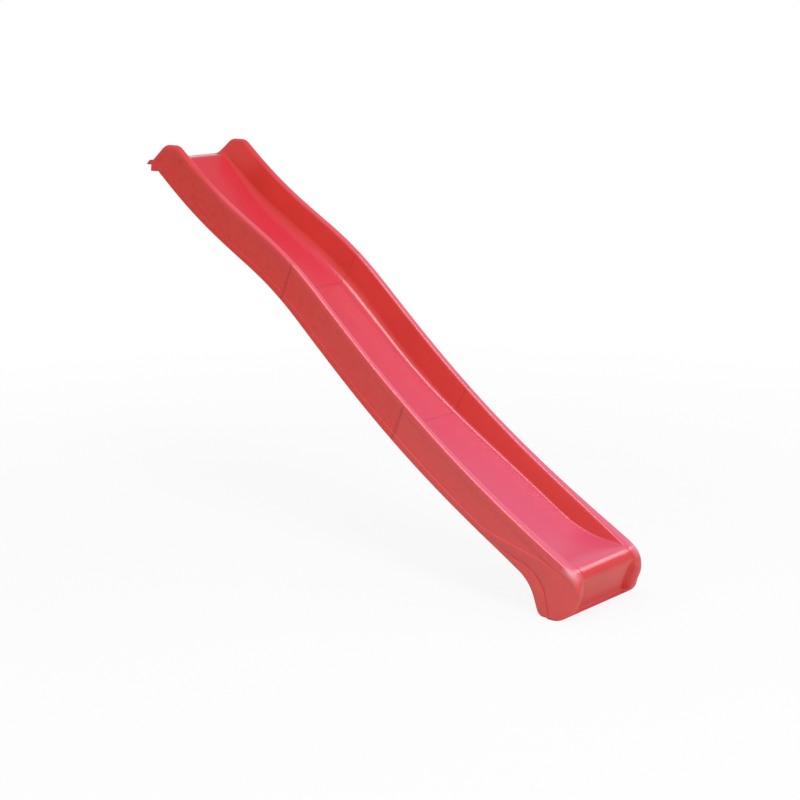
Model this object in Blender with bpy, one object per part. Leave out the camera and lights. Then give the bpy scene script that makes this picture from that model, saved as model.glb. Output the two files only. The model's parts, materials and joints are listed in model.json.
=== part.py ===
"""Wavy garden slide in three moulded sections, bolted together under the trough.

Metres, +Z up, +X downhill, Y across. The origin is the middle of the deck flange's underside.
"""

import math

import bmesh
import bpy
import numpy as np
from mathutils import Matrix, Vector

# Line of the rim: its length from the top of the hump, and its slope in degrees at stations along it
RIM_LENGTH = 2.507
STATION_AT = (0.0, 0.56, 1.0, 2.3)
STATION_SLOPE = (40.0, 29.2, 41.3, 29.7)
PATH_STEP = 0.004
PATH_SPARE = 0.26
SIGHT = 0.05
RAKE = 22.0
RAKE_LENGTH = 0.28

# Entry
FLANGE_REACH = 0.036
FLANGE_THICK = 0.021
FLANGE_BEVEL = 0.017
FLANGE_EDGE = 0.003
FLANGE_LAP = 0.018
FLANGE_WIDTH = 0.372
BODY_SETBACK = 0.008
LIP_HEIGHT = 0.017
LIP_DROP = 0.006
LIP_ROUND = 0.004
RIM_SETBACK = 0.120
RIM_RISE = 0.118
HUMP_HEIGHT = 0.087
HUMP_FLAT = 0.069
HUMP_BACK_ANGLE = 40.0
HUMP_RADIUS = 0.050
HUMP_FOOT_RADIUS = 0.030
HUMP_RUN = 0.150
CREST_RADIUS = 0.050

# Trough and walls, sizes across the path
RIM_SPACING = 0.375
RIM_RADIUS = 0.0145
BED_WIDTH = 0.305
BED_AT = (0.05, 0.35, 0.80, 1.20, 2.0)
BED_DEPTH = (0.108, 0.123, 0.127, 0.123, 0.083)
FILLET_AT = (0.0, 0.35, 0.90, 1.50, 2.20)
BED_FILLET = (0.012, 0.045, 0.030, 0.014, 0.010)
WALL_DEPTH = 0.1545
WALL_FLARE = 0.004
BEAD_DROP = 0.024
PANEL_RECESS = 0.006
PANEL_SLOPE = 1.2
PANEL_START = (0.06, 0.30)
PANEL_END = (2.30, 2.42)
CREASE_AT = (1.90, 2.36)
CREASE_DROP = (0.165, 0.036)
GROOVE_RISE = 0.0205
GROOVE_HALF = 0.0025
GROOVE_DEPTH = 0.003
GROOVE_START = (2.05, 2.25)
BOTTOM_ROUND = 0.009

# Run-out, end face and foot
RUN_OUT_SLOPE = 4.0
EXIT_HEIGHT = 0.193
END_RECESS = 0.030
END_LEAN = 0.003
END_EDGE_RADIUS = 0.042
STRIP_HEIGHT = 0.020
STRIP_PROUD = 0.004
STRIP_FRONT = END_RECESS - END_LEAN - STRIP_PROUD
NOSE_RADIUS = 0.075
NOSE_RUN = 0.15
NOSE_RIM_RADIUS = 0.008
NOSE_BEAD_DROP = 0.036
NOSE_WALL_LEAN = 0.004
NOSE_HEIGHT = 0.1625
PILLAR_OUTER = (0.021, 0.058)
PILLAR_INNER_DEPTH = 0.036
PILLAR_FRONT = 0.001
SOLE_EDGE = 0.006
FOOT_LENGTH = 0.129
FOOT_BACK_LEAN = 20.0
FOOT_FILLET = 0.260
HEEL_ROUND = 0.028
TOE_ROUND = 0.098
FOOT_BOTTOM_ROUND = 0.014
FOOT_FLARE = 0.012
FOOT_FLARE_LENGTH = 0.40
FOOT_RUN = 0.45
GROOVE_FOOT = 0.078
GROOVE_LEAN = 13.5
GROOVE_FALL = 17.5
GROOVE_KNEE = 0.1555
GROOVE_BEND_RADIUS = 0.100
GROOVE_KNEE_RADIUS = 0.160

# Joints between the sections
JOINTS_AT = (0.80, 1.53)
SKIN = 0.003
FIT_GAP = 0.0004
NECK_LENGTH = 0.070
NECK_ROOT = 0.012
TOP_SOLID = 0.060
END_SOLID = 0.065

# Fineness and least sizes
RING_PITCH = 0.065
CAVITY_PITCH = 0.090
HUMP_PITCH = 0.022
FOOT_PITCH = 0.022
FOOT_CAVITY_PITCH = 0.042
FRONT_GAP = 0.0008
LEAST_WALL = 0.002
LEAST_STRIP = 0.007
LEAST_BAND = 0.010
LEAST_ROUND = 0.001
LEAST_STEP = 0.0004
LEVEL_GAP = 0.00002
TINY = 1e-6
BAND_SHARE = 0.12
BEAD_SHARE = 0.33
PROFILE_PARTS = (4, 4, 4, 0, 0, 0, 0, 0, 0, 0, 3, 0, 0)
EVEN_SHARE = (0.48, 0.48)
LONG_SHARE = (0.90, 0.48)
PROFILE_SHARES = ((0.90, 0.70), (0.28, 0.48), (0.48, 0.92)) + (EVEN_SHARE,) * 10
GUIDE_PARTS = 10
NOSE_PARTS = 5
EDGE_PARTS = 4
SHARP_ANGLE = 35.0
FAR = 0.5

# Joint fasteners
BOLTS_PER_JOINT = 4
BOLT_SPACING = 0.075
BOLT_RADIUS = 0.003
BOLT_HEAD_FLATS = 0.010
BOLT_HEAD_HEIGHT = 0.004
BOLT_TIP = 0.001
HOLE_GAP = 0.0004
THREAD_GAP = 0.0003
SEAT_GAP = 0.0003
WASHER_RADIUS = 0.009
WASHER_THICK = 0.0016
NUT_FLATS = 0.010
NUT_HEIGHT = 0.005
HEX_SIDES = 6
ROUND_SIDES = 2 * HEX_SIDES

# Finishes
RED_PLASTIC = (0.62, 0.045, 0.050)
PLASTIC_ROUGHNESS = 0.38
ZINC = (0.62, 0.63, 0.65)
ZINC_ROUGHNESS = 0.35


def clear_scene():
    for old in list(bpy.data.objects):
        bpy.data.objects.remove(old, do_unlink=True)


def material(name, colour, roughness, metallic):
    finish = bpy.data.materials.new(name)
    finish.use_nodes = True
    shader = finish.node_tree.nodes["Principled BSDF"]
    shader.inputs["Base Color"].default_value = (*colour, 1.0)
    shader.inputs["Roughness"].default_value = roughness
    shader.inputs["Metallic"].default_value = metallic
    return finish


def ease(low, high, value):
    """Smooth step from 0 at low to 1 at high."""
    share = min(max((value - low) / (high - low), 0.0), 1.0)
    return share * share * (3.0 - 2.0 * share)


def eased(places, values, along):
    """Value at a distance along the rim, eased from station to station."""
    value = values[0]
    for start, end, first, second in zip(places, places[1:], values, values[1:]):
        value += (second - first) * ease(start, end, along)
    return value


def slope_at(along):
    """Slope of the rim line in radians."""
    return math.radians(eased(STATION_AT, STATION_SLOPE, along))


def rim_line():
    """Distances and (x, z) points of the rim line, from behind the hump to past the nose."""
    origin = np.array([RIM_SETBACK + FLANGE_REACH / 2, RIM_RISE])
    count = int((RIM_LENGTH + 2 * PATH_SPARE) / PATH_STEP)
    along = np.arange(count + 1) * PATH_STEP - PATH_SPARE
    slopes = np.array([slope_at(s + PATH_STEP / 2) for s in along[:-1]])
    steps = np.stack([np.cos(slopes), -np.sin(slopes)], axis=1) * PATH_STEP
    points = np.vstack([np.zeros(2), np.cumsum(steps, axis=0)])
    at_origin = np.array([np.interp(0.0, along, points[:, i]) for i in range(2)])
    return along, points - at_origin + origin


ALONG, RIM_POINTS = rim_line()


def rim_at(along):
    return np.array([np.interp(along, ALONG, RIM_POINTS[:, i]) for i in range(2)])


def below_rim(depth):
    """The rim line shifted square to itself, by one depth or by a depth for each point."""
    slopes = np.array([slope_at(s) for s in ALONG])
    down = np.stack([-np.sin(slopes), -np.cos(slopes)], axis=1)
    return RIM_POINTS + down * np.reshape(depth, (-1, 1))


def rake_at(along):
    """Lean of a cross-section from upright: none at the entry, RAKE down the slope."""
    start = -RIM_SETBACK
    return math.radians(RAKE) * ease(start, start + RAKE_LENGTH, along)


def heading(degrees):
    angle = math.radians(degrees)
    return np.array([math.cos(angle), math.sin(angle)])


def meet(point, direction, other, other_direction):
    """Crossing of two lines in the plane."""
    sides = np.column_stack([direction, -np.asarray(other_direction)])
    return np.asarray(point) + np.linalg.solve(sides, np.asarray(other) - point)[0] * np.asarray(direction)


def rounded(corners, radii, parts, shares=None):
    """Points of an open outline whose inner corners are arcs of so many parts, or sharp for no parts.

    An arc takes up no more than its shares of the sides before and after its corner.
    """
    shares = shares or (EVEN_SHARE,) * len(radii)
    points = [corners[0]]
    for k, (radius, count, share) in enumerate(zip(radii, parts, shares), 1):
        corner = corners[k]
        inward = corners[k - 1] - corner
        outward = corners[k + 1] - corner
        lengths = (np.linalg.norm(inward), np.linalg.norm(outward))
        inward = inward / lengths[0]
        outward = outward / lengths[1]
        turn = math.pi - math.acos(float(np.clip(inward @ outward, -1.0, 1.0)))
        room = min(share[0] * lengths[0], share[1] * lengths[1])
        radius = min(radius, room / max(math.tan(turn / 2), TINY))
        points += arc(corner, inward, outward, turn, radius, count)
    points.append(corners[-1])
    return np.array(points)


def arc(corner, inward, outward, turn, radius, count):
    """Points of the arc that touches both sides of a corner."""
    middle = inward + outward
    middle = middle / max(np.linalg.norm(middle), TINY)
    centre = corner + middle * radius / math.cos(turn / 2)
    first = corner + inward * radius * math.tan(turn / 2) - centre
    side = np.array([-first[1], first[0]])
    side = side if side @ inward < 0 else -side
    angles = [turn * k / max(count, 1) for k in range(count + 1)]
    return [centre + first * math.cos(angle) + side * math.sin(angle) for angle in angles]


def front_frame():
    """A point on the front plane of the nose, and the plane's downward and forward directions."""
    lean = math.radians(RAKE)
    down = np.array([-math.sin(lean), -math.cos(lean)])
    forward = np.array([math.cos(lean), -math.sin(lean)])
    return rim_at(RIM_LENGTH), down, forward


def at_height(height):
    """A point and the direction of the level line at this height."""
    return np.array([0.0, height]), heading(0.0)


def ground_level():
    return rim_at(RIM_LENGTH)[1] - NOSE_HEIGHT


def toe_point():
    """Where the front plane of the nose meets the ground."""
    nose, down, _ = front_frame()
    return meet(nose, down, *at_height(ground_level()))


def rim_guide():
    """Top edge of a side wall: deck level, hump with a short level top, slope and rounded nose."""
    nose, down, _ = front_frame()
    origin = rim_at(0.0)
    crown = meet(*at_height(HUMP_HEIGHT), origin, rim_at(SIGHT) - origin)
    shoulder = crown - heading(0.0) * HUMP_FLAT
    foot = meet(*at_height(FLANGE_THICK), shoulder, heading(HUMP_BACK_ANGLE))
    top = [foot - heading(0.0) * FAR, foot, shoulder, crown, rim_at(HUMP_RUN)]
    entry = rounded(top, (HUMP_FOOT_RADIUS, HUMP_RADIUS, HUMP_RADIUS), (GUIDE_PARTS,) * 3)[:-1]
    slope = RIM_POINTS[(ALONG > HUMP_RUN) & (ALONG < RIM_LENGTH - NOSE_RUN)]
    end = [rim_at(RIM_LENGTH - NOSE_RUN), nose, nose + down * FAR]
    return np.vstack([entry, slope, rounded(end, (NOSE_RADIUS,), (GUIDE_PARTS,))])


def bed_guide():
    """Sliding surface: flat on the deck, over the crest, down the slope to the run-out and its end face."""
    line = below_rim(np.array([eased(BED_AT, BED_DEPTH, s) for s in ALONG]))
    first = line[ALONG > SIGHT][0]
    crest = meet(*at_height(FLANGE_THICK), first, line[ALONG > 2 * SIGHT][0] - first)
    entry = rounded([crest - heading(0.0) * FAR, crest, first], (CREST_RADIUS,), (GUIDE_PARTS,))
    nose, down, forward = front_frame()
    face = nose - forward * END_RECESS
    edge = meet(face, down, *at_height(ground_level() + EXIT_HEIGHT))
    sill = meet(face, down, *at_height(ground_level() + STRIP_HEIGHT)) + forward * END_LEAN
    lower = line[ALONG > BED_AT[-1]][0]
    before = line[ALONG > BED_AT[-1] - SIGHT][0]
    bend = meet(lower, lower - before, edge, heading(-RUN_OUT_SLOPE))
    corners = [lower, bend, edge, sill, sill + heading(0.0) * FAR]
    radii = (FAR, END_EDGE_RADIUS, END_LEAN)
    end = rounded(corners, radii, (GUIDE_PARTS,) * 3, (LONG_SHARE, EVEN_SHARE, EVEN_SHARE))
    slope = line[(ALONG > SIGHT) & (ALONG < BED_AT[-1])]
    return np.vstack([entry, slope[1:], end])


def lower_edge(lift):
    """Lower edge on the slope, or a line lifted above it, with its last point and direction."""
    line = below_rim(np.full(len(ALONG), WALL_DEPTH - lift))
    level = lift - LIP_DROP - LIP_HEIGHT
    start = line[ALONG > 0.0][0]
    corner = meet(*at_height(level), start, start - line[ALONG > SIGHT][0])
    entry = rounded([corner - heading(0.0) * FAR, corner, start], (BOTTOM_ROUND,), (GUIDE_PARTS,))
    slope = line[(ALONG > 0.0) & (ALONG < RIM_LENGTH - FOOT_RUN)]
    last = line[ALONG > RIM_LENGTH - FOOT_RUN][0]
    after = line[ALONG > RIM_LENGTH - FOOT_RUN + SIGHT][0]
    return np.vstack([entry, slope[1:]]), last, after - last


def under_guide():
    """Lower edge: level at the stop lip, along the slope, down the back of the foot and along the ground."""
    slope, last, flow = lower_edge(0.0)
    toe = toe_point()
    heel = toe - heading(0.0) * FOOT_LENGTH
    knee = meet(heel, heading(90.0 + FOOT_BACK_LEAN), last, flow)
    corners = [last, knee, heel, toe, toe - front_frame()[1] * FAR]
    return np.vstack([slope, rounded(corners, (FOOT_FILLET, HEEL_ROUND, TOE_ROUND), (GUIDE_PARTS,) * 3)])


def groove_guide():
    """Moulded line above the lower edge, which swings down the side of the foot to the ground."""
    slope, last, flow = lower_edge(GROOVE_RISE)
    foot = toe_point() - heading(0.0) * GROOVE_FOOT
    knee = meet(foot, heading(90.0 + GROOVE_LEAN), *at_height(ground_level() + GROOVE_KNEE))
    bend = meet(last, flow, knee, heading(-GROOVE_FALL))
    radii = (GROOVE_BEND_RADIUS, GROOVE_KNEE_RADIUS)
    return np.vstack([slope, rounded([last, bend, knee, foot], radii, (GUIDE_PARTS,) * 2)])


RIM_GUIDE = rim_guide()
BED_GUIDE = bed_guide()
UNDER_GUIDE = under_guide()
GROOVE_GUIDE = groove_guide()


def reach(guide, start, down, otherwise=None):
    """Distance from start along down to where that line crosses the guide."""
    across = np.array([-down[1], down[0]])
    sides = (guide - start) @ across
    crossed = np.nonzero((sides[:-1] < 0) & (sides[1:] >= 0))[0]
    if len(crossed) == 0:
        return otherwise
    k = crossed[0]
    share = sides[k] / (sides[k] - sides[k + 1])
    return float((guide[k] + share * (guide[k + 1] - guide[k]) - start) @ down)


def section_frame(along):
    """Point of the rim line and downward direction of the leaning cross-section there."""
    lean = rake_at(along)
    return rim_at(along), np.array([-math.sin(lean), -math.cos(lean)])


def from_front(along):
    """Distance of a cross-section behind the front plane of the nose."""
    return (RIM_LENGTH - along) * math.cos(slope_at(RIM_LENGTH) - math.radians(RAKE))


def drawn_in(along, amount, depth):
    """How far a face of the side wall draws in near the front, for a round pillar seen from above."""
    share = 1.0 - min(max(from_front(along) / depth, 0.0), 1.0)
    return amount * (1.0 - math.sqrt(1.0 - share**2))


def inner_draw(along):
    """How far the inner face draws out near the front, where the pillar stays narrow at the rim."""
    wall = RIM_SPACING / 2 + RIM_RADIUS - BED_WIDTH / 2 - NOSE_WALL_LEAN
    return drawn_in(along, wall - PILLAR_OUTER[0] - PILLAR_FRONT, PILLAR_INNER_DEPTH)


def shrink(corners, inset):
    """Half a cross-section moved into its material, with its ends kept on the middle plane."""
    flows = [(b - a) / np.linalg.norm(b - a) for a, b in zip(corners, corners[1:])]
    bases = [a + inset * np.array([-f[1], f[0]]) for a, f in zip(corners, flows)]
    middle = (np.zeros(2), np.array([0.0, 1.0]))
    moved = [meet(*middle, bases[0], flows[0])]
    for (base, flow), (other, other_flow) in zip(zip(bases, flows), zip(bases[1:], flows[1:])):
        moved.append(meet(base, flow, other, other_flow))
    moved.append(meet(*middle, bases[-1], flows[-1]))
    return np.array(moved)


def wall_depths(along, top, low, nose, step):
    """Depths of the lines down the outside of a wall: rolled rim, panel, ledge and groove."""
    tall = low - top
    bead = top + min(BEAD_DROP + (NOSE_BEAD_DROP - BEAD_DROP) * nose, BEAD_SHARE * tall)
    groove = reach(GROOVE_GUIDE, *section_frame(along), low)
    groove = min(groove, low - min(LEAST_BAND, BAND_SHARE * tall))
    groove = max(groove, bead + BEAD_SHARE * tall)
    crease = top + float(np.interp(along, CREASE_AT, CREASE_DROP))
    ledge = max(crease, bead + 2.0 * PANEL_SLOPE * step + LEAST_WALL)
    ledge = min(ledge, groove - 2.0 * GROOVE_HALF)
    panel = (bead, bead + PANEL_SLOPE * step, ledge - step, ledge)
    return panel + (groove - GROOVE_HALF, groove, groove + GROOVE_HALF)


def wall_outline(along, depths, rim_out, low_out, low, step):
    """Offsets from the middle of the lines down the outside of a wall."""
    ledge = depths[3]
    groove = depths[5]
    below = rim_out + (low_out - rim_out) * (groove - ledge) / (low - ledge)
    open_band = ease(LEAST_BAND, 2.0 * LEAST_BAND, low - groove)
    cut = GROOVE_DEPTH * ease(*GROOVE_START, along) * open_band + LEAST_STEP / 2
    panel = rim_out - step
    return [rim_out, panel, panel, rim_out, below, below - cut, below]


def half_profile(along, inset):
    """Corners (across, down) and radii of half a cross-section, from the bed round to the underside."""
    start, down = section_frame(along)
    top = reach(RIM_GUIDE, start, down)
    low = reach(UNDER_GUIDE, start, down)
    bed = min(max(reach(BED_GUIDE, start, down), top + LEAST_WALL), low - LEAST_STRIP)
    nose = ease(RIM_LENGTH - FOOT_FLARE_LENGTH, RIM_LENGTH, along)
    step = max(PANEL_RECESS * ease(*PANEL_START, along) * (1.0 - ease(*PANEL_END, along)), LEAST_STEP)
    rim_in = RIM_SPACING / 2 - RIM_RADIUS
    rim_in += (BED_WIDTH / 2 + NOSE_WALL_LEAN - rim_in) * nose
    rim_out = RIM_SPACING / 2 + RIM_RADIUS - drawn_in(along, *PILLAR_OUTER)
    low_out = rim_out + WALL_FLARE + FOOT_FLARE * nose
    draw = inner_draw(along)
    depths = wall_depths(along, top, low, nose, step)
    inner = BED_WIDTH / 2 + draw
    corners = [(0.0, bed), (inner, bed), (rim_in + draw, top)]
    if inset > 0.0:
        corners += [(rim_out - step, top), (rim_out - step, low), (0.0, low)]
        corners = shrink(np.array(corners), inset)
        wall = [corners[3] + (corners[4] - corners[3]) * (depth - top) / (low - top) for depth in depths]
        corners = np.vstack([corners[:4], wall, corners[4:]])
    else:
        wall = wall_outline(along, depths, rim_out, low_out, low, step)
        corners += [(rim_out, top), *zip(wall, depths), (low_out, low), (0.0, low)]
        corners = np.array(corners)
    sole = [(inner + SOLE_EDGE, corners[-1][1]), (inner, corners[-1][1])]
    return np.vstack([corners[:-1], sole, corners[-1:]]), profile_radii(along, nose, inset)


def profile_radii(along, nose, inset):
    """Radii of the rounded corners: bed, both edges of the rim, and the lower edge."""
    bed = float(np.interp(along, FILLET_AT, BED_FILLET)) + inset
    rim = max(RIM_RADIUS + (NOSE_RIM_RADIUS - RIM_RADIUS) * nose - inset, LEAST_ROUND)
    bottom = max(BOTTOM_ROUND + (FOOT_BOTTOM_ROUND - BOTTOM_ROUND) * nose - inset, LEAST_ROUND)
    return (bed, rim, rim) + (0.0,) * 7 + (bottom, 0.0, 0.0)


def placed(along, side, outline):
    """Points in space of an outline (across, down) in the leaning cross-section, on one side."""
    start, down = section_frame(along)
    return [Vector((start[0] + down[0] * t, side * y, start[1] + down[1] * t)) for y, t in outline]


def cross_section(along, inset=0.0):
    """Closed loop of points of the section at this distance along the rim, or of its hollow."""
    half = rounded(*half_profile(along, inset), PROFILE_PARTS, PROFILE_SHARES)
    return placed(along, 1.0, half) + placed(along, -1.0, half[-2:0:-1])


def pillar_section(along, side):
    """Closed loop of points of a pillar in front of the end face, from its inner face round to its sole."""
    corners, radii = half_profile(along, 0.0)
    inner, _ = corners[1]
    _, low = corners[-1]
    outline = np.vstack([(inner, low - 2.0 * SOLE_EDGE), corners[2:-2], (inner, low - SOLE_EDGE)])
    return placed(along, side, rounded(outline, radii[1:-1], PROFILE_PARTS[1:-1], PROFILE_SHARES[1:-1]))


def make_object(name, mesh, finish):
    mesh.materials.append(finish)
    obj = bpy.data.objects.new(name, mesh)
    bpy.context.scene.collection.objects.link(obj)
    return obj


def span(bm, ring, following):
    """Faces from one ring of corners to the next."""
    for k in range(len(ring)):
        after = (k + 1) % len(ring)
        bm.faces.new((ring[k], ring[after], following[after], following[k]))


def skin(bm, loops):
    """Rings of corners on the loops, with faces from ring to ring."""
    rings = [[bm.verts.new(p) for p in loop] for loop in loops]
    for ring, following in zip(rings, rings[1:]):
        span(bm, ring, following)
    return rings


def loft(name, loops, finish, ring_shaped=False):
    """Solid through loops of equal count. It closes on itself, or ends in two flat faces."""
    bm = bmesh.new()
    rings = skin(bm, loops)
    if ring_shaped:
        span(bm, rings[-1], rings[0])
    else:
        bm.faces.new(rings[0])
        bm.faces.new(rings[-1])
    return finish_mesh(name, bm, finish)


def add_front(bm, ring):
    """Face of the strip under the end face, and the two pillars that stand forward of it."""
    middle = len(ring) // 2
    wall = PROFILE_PARTS[0] + 1
    sole = middle - 1
    strip = [*range(-wall, wall + 1), sole, middle, -sole]
    bm.faces.new([ring[k] for k in strip])
    for side in (1, -1):
        last = [ring[side * k] for k in range(wall, middle)]
        for along in pillar_stations():
            following = [bm.verts.new(p) for p in pillar_section(along, side)]
            span(bm, last, following)
            last = following
        bm.faces.new(last)


def join_level_faces(bm, height):
    """One face in place of the strips that lie level at this height."""
    level = [f for f in bm.faces if all(abs(v.co.z - height) < LEVEL_GAP for v in f.verts)]
    bmesh.ops.dissolve_faces(bm, faces=level)


def finish_mesh(name, bm, finish):
    bmesh.ops.recalc_face_normals(bm, faces=bm.faces)
    mesh = bpy.data.meshes.new(name)
    bm.to_mesh(mesh)
    bm.free()
    mesh.shade_smooth()
    mesh.set_sharp_from_angle(angle=math.radians(SHARP_ANGLE))
    return make_object(name, mesh, finish)


def extrude_across(name, outline, width, finish):
    """Solid of an (x, z) outline, of this width about the middle plane."""
    bm = bmesh.new()
    sides = [[bm.verts.new((x, y, z)) for x, z in outline] for y in (-width / 2, width / 2)]
    for k in range(len(outline)):
        after = (k + 1) % len(outline)
        bm.faces.new((sides[0][k], sides[0][after], sides[1][after], sides[1][k]))
    bm.faces.new(sides[0])
    bm.faces.new(sides[1])
    return finish_mesh(name, bm, finish)


def helper(obj):
    obj.hide_render = True
    obj.display_type = "WIRE"
    return obj


def combine(target, tool, operation):
    change = target.modifiers.new(tool.name, "BOOLEAN")
    change.operation = operation
    change.solver = "EXACT"
    change.object = helper(tool)


def stations(start, end, pitch):
    """Evenly spaced distances from start to end."""
    count = max(1, round((end - start) / pitch))
    return [start + (end - start) * k / count for k in range(count + 1)]


def quarter(radius, parts):
    """Distances behind a front that give a round edge of this radius."""
    return [radius * (1.0 - math.cos(math.pi / 2 * k / parts)) for k in range(parts + 1)]


def behind_front(distances):
    """Distances along the rim of cross-sections this far behind the front plane, down to the nearest."""
    places = sorted(distances, reverse=True)
    apart = [places[0]] + [b for a, b in zip(places, places[1:]) if a - b > FRONT_GAP]
    scale = math.cos(slope_at(RIM_LENGTH) - math.radians(RAKE))
    return [RIM_LENGTH - d / scale for d in apart]


def nose_stations():
    """Close cross-sections over the run-out edge and the end face, as far as the strip under it."""
    sides = [d for d in quarter(PILLAR_OUTER[1], NOSE_PARTS) if d > STRIP_FRONT + FRONT_GAP]
    edge = [END_RECESS + d for d in quarter(END_EDGE_RADIUS, EDGE_PARTS)]
    return behind_front(sides + edge + [END_RECESS - END_LEAN, STRIP_FRONT])


def pillar_stations():
    """Cross-sections that round the front of the pillars."""
    sides = [d for d in quarter(PILLAR_OUTER[1], NOSE_PARTS) if FRONT_GAP < d < STRIP_FRONT - FRONT_GAP]
    return behind_front(sides + [FRONT_GAP])


def entry_stations():
    """Distances of the cross-sections over the hump, close together where it is round."""
    first = FLANGE_REACH / 2 + BODY_SETBACK - rim_at(0.0)[0]
    first /= math.cos(slope_at(0.0))
    return stations(first, HUMP_RUN, HUMP_PITCH)


def outer_loops(places):
    return [cross_section(s) for s in places]


def to_joint(start, joint, pitch):
    """Distances of the cross-sections down to a joint, with one straight length where the spigot laps."""
    return stations(start, joint - NECK_LENGTH, pitch) + [joint - FIT_GAP / 2]


def neck_loops(joint):
    """Outside of the straight spigot, from its root to its open end, and back along its hollow."""
    root = joint + FIT_GAP / 2
    tip = joint - NECK_LENGTH
    outside = [cross_section(s, SKIN + FIT_GAP) for s in (root, tip)]
    inside = [cross_section(s, 2 * SKIN + FIT_GAP) for s in (tip, root)]
    return outside + inside


def hollow_loops(places):
    return [cross_section(s, SKIN) for s in places]


def flange_outline():
    tip = -FLANGE_REACH / 2
    root = FLANGE_REACH / 2 + BODY_SETBACK + FLANGE_LAP
    top = FLANGE_THICK - LEAST_ROUND
    bevel = (tip + FLANGE_BEVEL, top - LEAST_ROUND)
    return [(tip, 0.0), (tip, FLANGE_EDGE), bevel, (root, top), (root, 0.0)]


def lip_outline():
    back = FLANGE_REACH / 2
    front = back + BODY_SETBACK + LIP_HEIGHT
    top = -LIP_DROP
    low = top - LIP_HEIGHT + LEAST_ROUND
    inner = back + LIP_ROUND
    outline = [(back, low + LIP_ROUND), (back, top - LIP_ROUND), (inner, top)]
    return outline + [(front, top), (front, low), (inner, low)]


def upper_section(finish):
    entry = entry_stations()
    outside = outer_loops(entry[:-1] + to_joint(entry[-1], JOINTS_AT[0], RING_PITCH))
    inside = hollow_loops(to_joint(TOP_SOLID - RIM_SETBACK, JOINTS_AT[0], CAVITY_PITCH))
    return loft("upper_section", outside + inside[::-1], finish)


def middle_section(finish):
    start = JOINTS_AT[0] + FIT_GAP / 2
    outside = outer_loops(to_joint(start, JOINTS_AT[1], RING_PITCH))
    inside = hollow_loops(to_joint(start + NECK_ROOT, JOINTS_AT[1], CAVITY_PITCH))
    loops = outside[::-1] + neck_loops(JOINTS_AT[0]) + inside
    return loft("middle_section", loops, finish, ring_shaped=True)


def lower_section(finish):
    start = JOINTS_AT[1] + FIT_GAP / 2
    nose = nose_stations()
    bend = RIM_LENGTH - FOOT_RUN
    places = stations(start, bend, RING_PITCH)[:-1] + stations(bend, nose[0], FOOT_PITCH)[:-1] + nose
    hollow = stations(start + NECK_ROOT, bend, CAVITY_PITCH)[:-1]
    hollow += stations(bend, RIM_LENGTH - END_SOLID, FOOT_CAVITY_PITCH)
    loops = outer_loops(places)[::-1] + neck_loops(JOINTS_AT[1]) + hollow_loops(hollow)
    bm = bmesh.new()
    rings = skin(bm, loops)
    bm.faces.new(rings[-1])
    add_front(bm, rings[0])
    join_level_faces(bm, ground_level())
    return finish_mesh("lower_section", bm, finish)


def add_entry_edge(section, finish):
    """Flange that lies on the deck, and the lip below it that stops against the deck's edge."""
    combine(section, extrude_across("deck_flange", flange_outline(), FLANGE_WIDTH, finish), "UNION")
    combine(section, extrude_across("stop_lip", lip_outline(), FLANGE_WIDTH, finish), "UNION")


def prism(bm, sides, radius, low, high, place):
    """Prism about Z of the placing matrix, between two heights."""
    centre = place @ Matrix.Translation((0.0, 0.0, (low + high) / 2))
    bmesh.ops.create_cone(
        bm, cap_ends=True, segments=sides, radius1=radius, radius2=radius, depth=high - low, matrix=centre
    )


def circle(radius, sides):
    turns = [2 * math.pi * k / sides for k in range(sides)]
    return [(radius * math.cos(turn), radius * math.sin(turn)) for turn in turns]


def hexagon(flats):
    """Hexagon with a point at each corner and each middle of a side."""
    corners = circle(flats / math.sqrt(3.0), HEX_SIDES)
    outline = []
    for (x, y), (next_x, next_y) in zip(corners, corners[1:] + corners[:1]):
        outline += [(x, y), ((x + next_x) / 2, (y + next_y) / 2)]
    return outline


def stacked(name, layers, finish, ring_shaped):
    """Solid through flat outlines at their heights on Z: a closed ring, or with flat ends."""
    loops = [[Vector((x, y, height)) for x, y in outline] for outline, height in layers]
    return loft(name, loops, finish, ring_shaped)


def ring_solid(name, outline, bore, low, high, finish):
    """Washer or nut: an outline with a round bore."""
    hole = circle(bore, ROUND_SIDES)
    return stacked(name, ((outline, low), (outline, high), (hole, high), (hole, low)), finish, True)


def bolt_solid(name, stack, finish):
    """Hexagon head above the washer, with its shank down through the skins and the nut."""
    seat = 2 * SEAT_GAP + WASHER_THICK
    tip = -stack - SEAT_GAP - NUT_HEIGHT - BOLT_TIP
    head = hexagon(BOLT_HEAD_FLATS)
    shank = circle(BOLT_RADIUS, ROUND_SIDES)
    layers = ((head, seat + BOLT_HEAD_HEIGHT), (head, seat), (shank, seat), (shank, tip))
    return stacked(name, layers, finish, False)


def bolt_seat(joint):
    """Middle of a joint's bolt row on the straight underside, its outward direction and its lean."""
    ends = []
    for along in (joint - NECK_LENGTH, joint):
        start, down = section_frame(along)
        ends.append(start + down * reach(UNDER_GUIDE, start, down))
    flow = (ends[1] - ends[0]) / np.linalg.norm(ends[1] - ends[0])
    outward = np.array([flow[1], -flow[0]])
    return (ends[0] + ends[1]) / 2, outward, float(outward @ down)


def bolt_row(joint):
    """Placing matrices of a joint's bolts, Z out of the underside, and the depth of the lapped skins."""
    point, outward, lean = bolt_seat(joint)
    turn = Vector((outward[0], 0.0, outward[1])).to_track_quat("Z", "Y").to_matrix().to_4x4()
    first = -(BOLTS_PER_JOINT - 1) / 2 * BOLT_SPACING
    across = [first + k * BOLT_SPACING for k in range(BOLTS_PER_JOINT)]
    places = [Matrix.Translation((point[0], y, point[1])) @ turn for y in across]
    return places, (2 * SKIN + FIT_GAP) * lean


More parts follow.
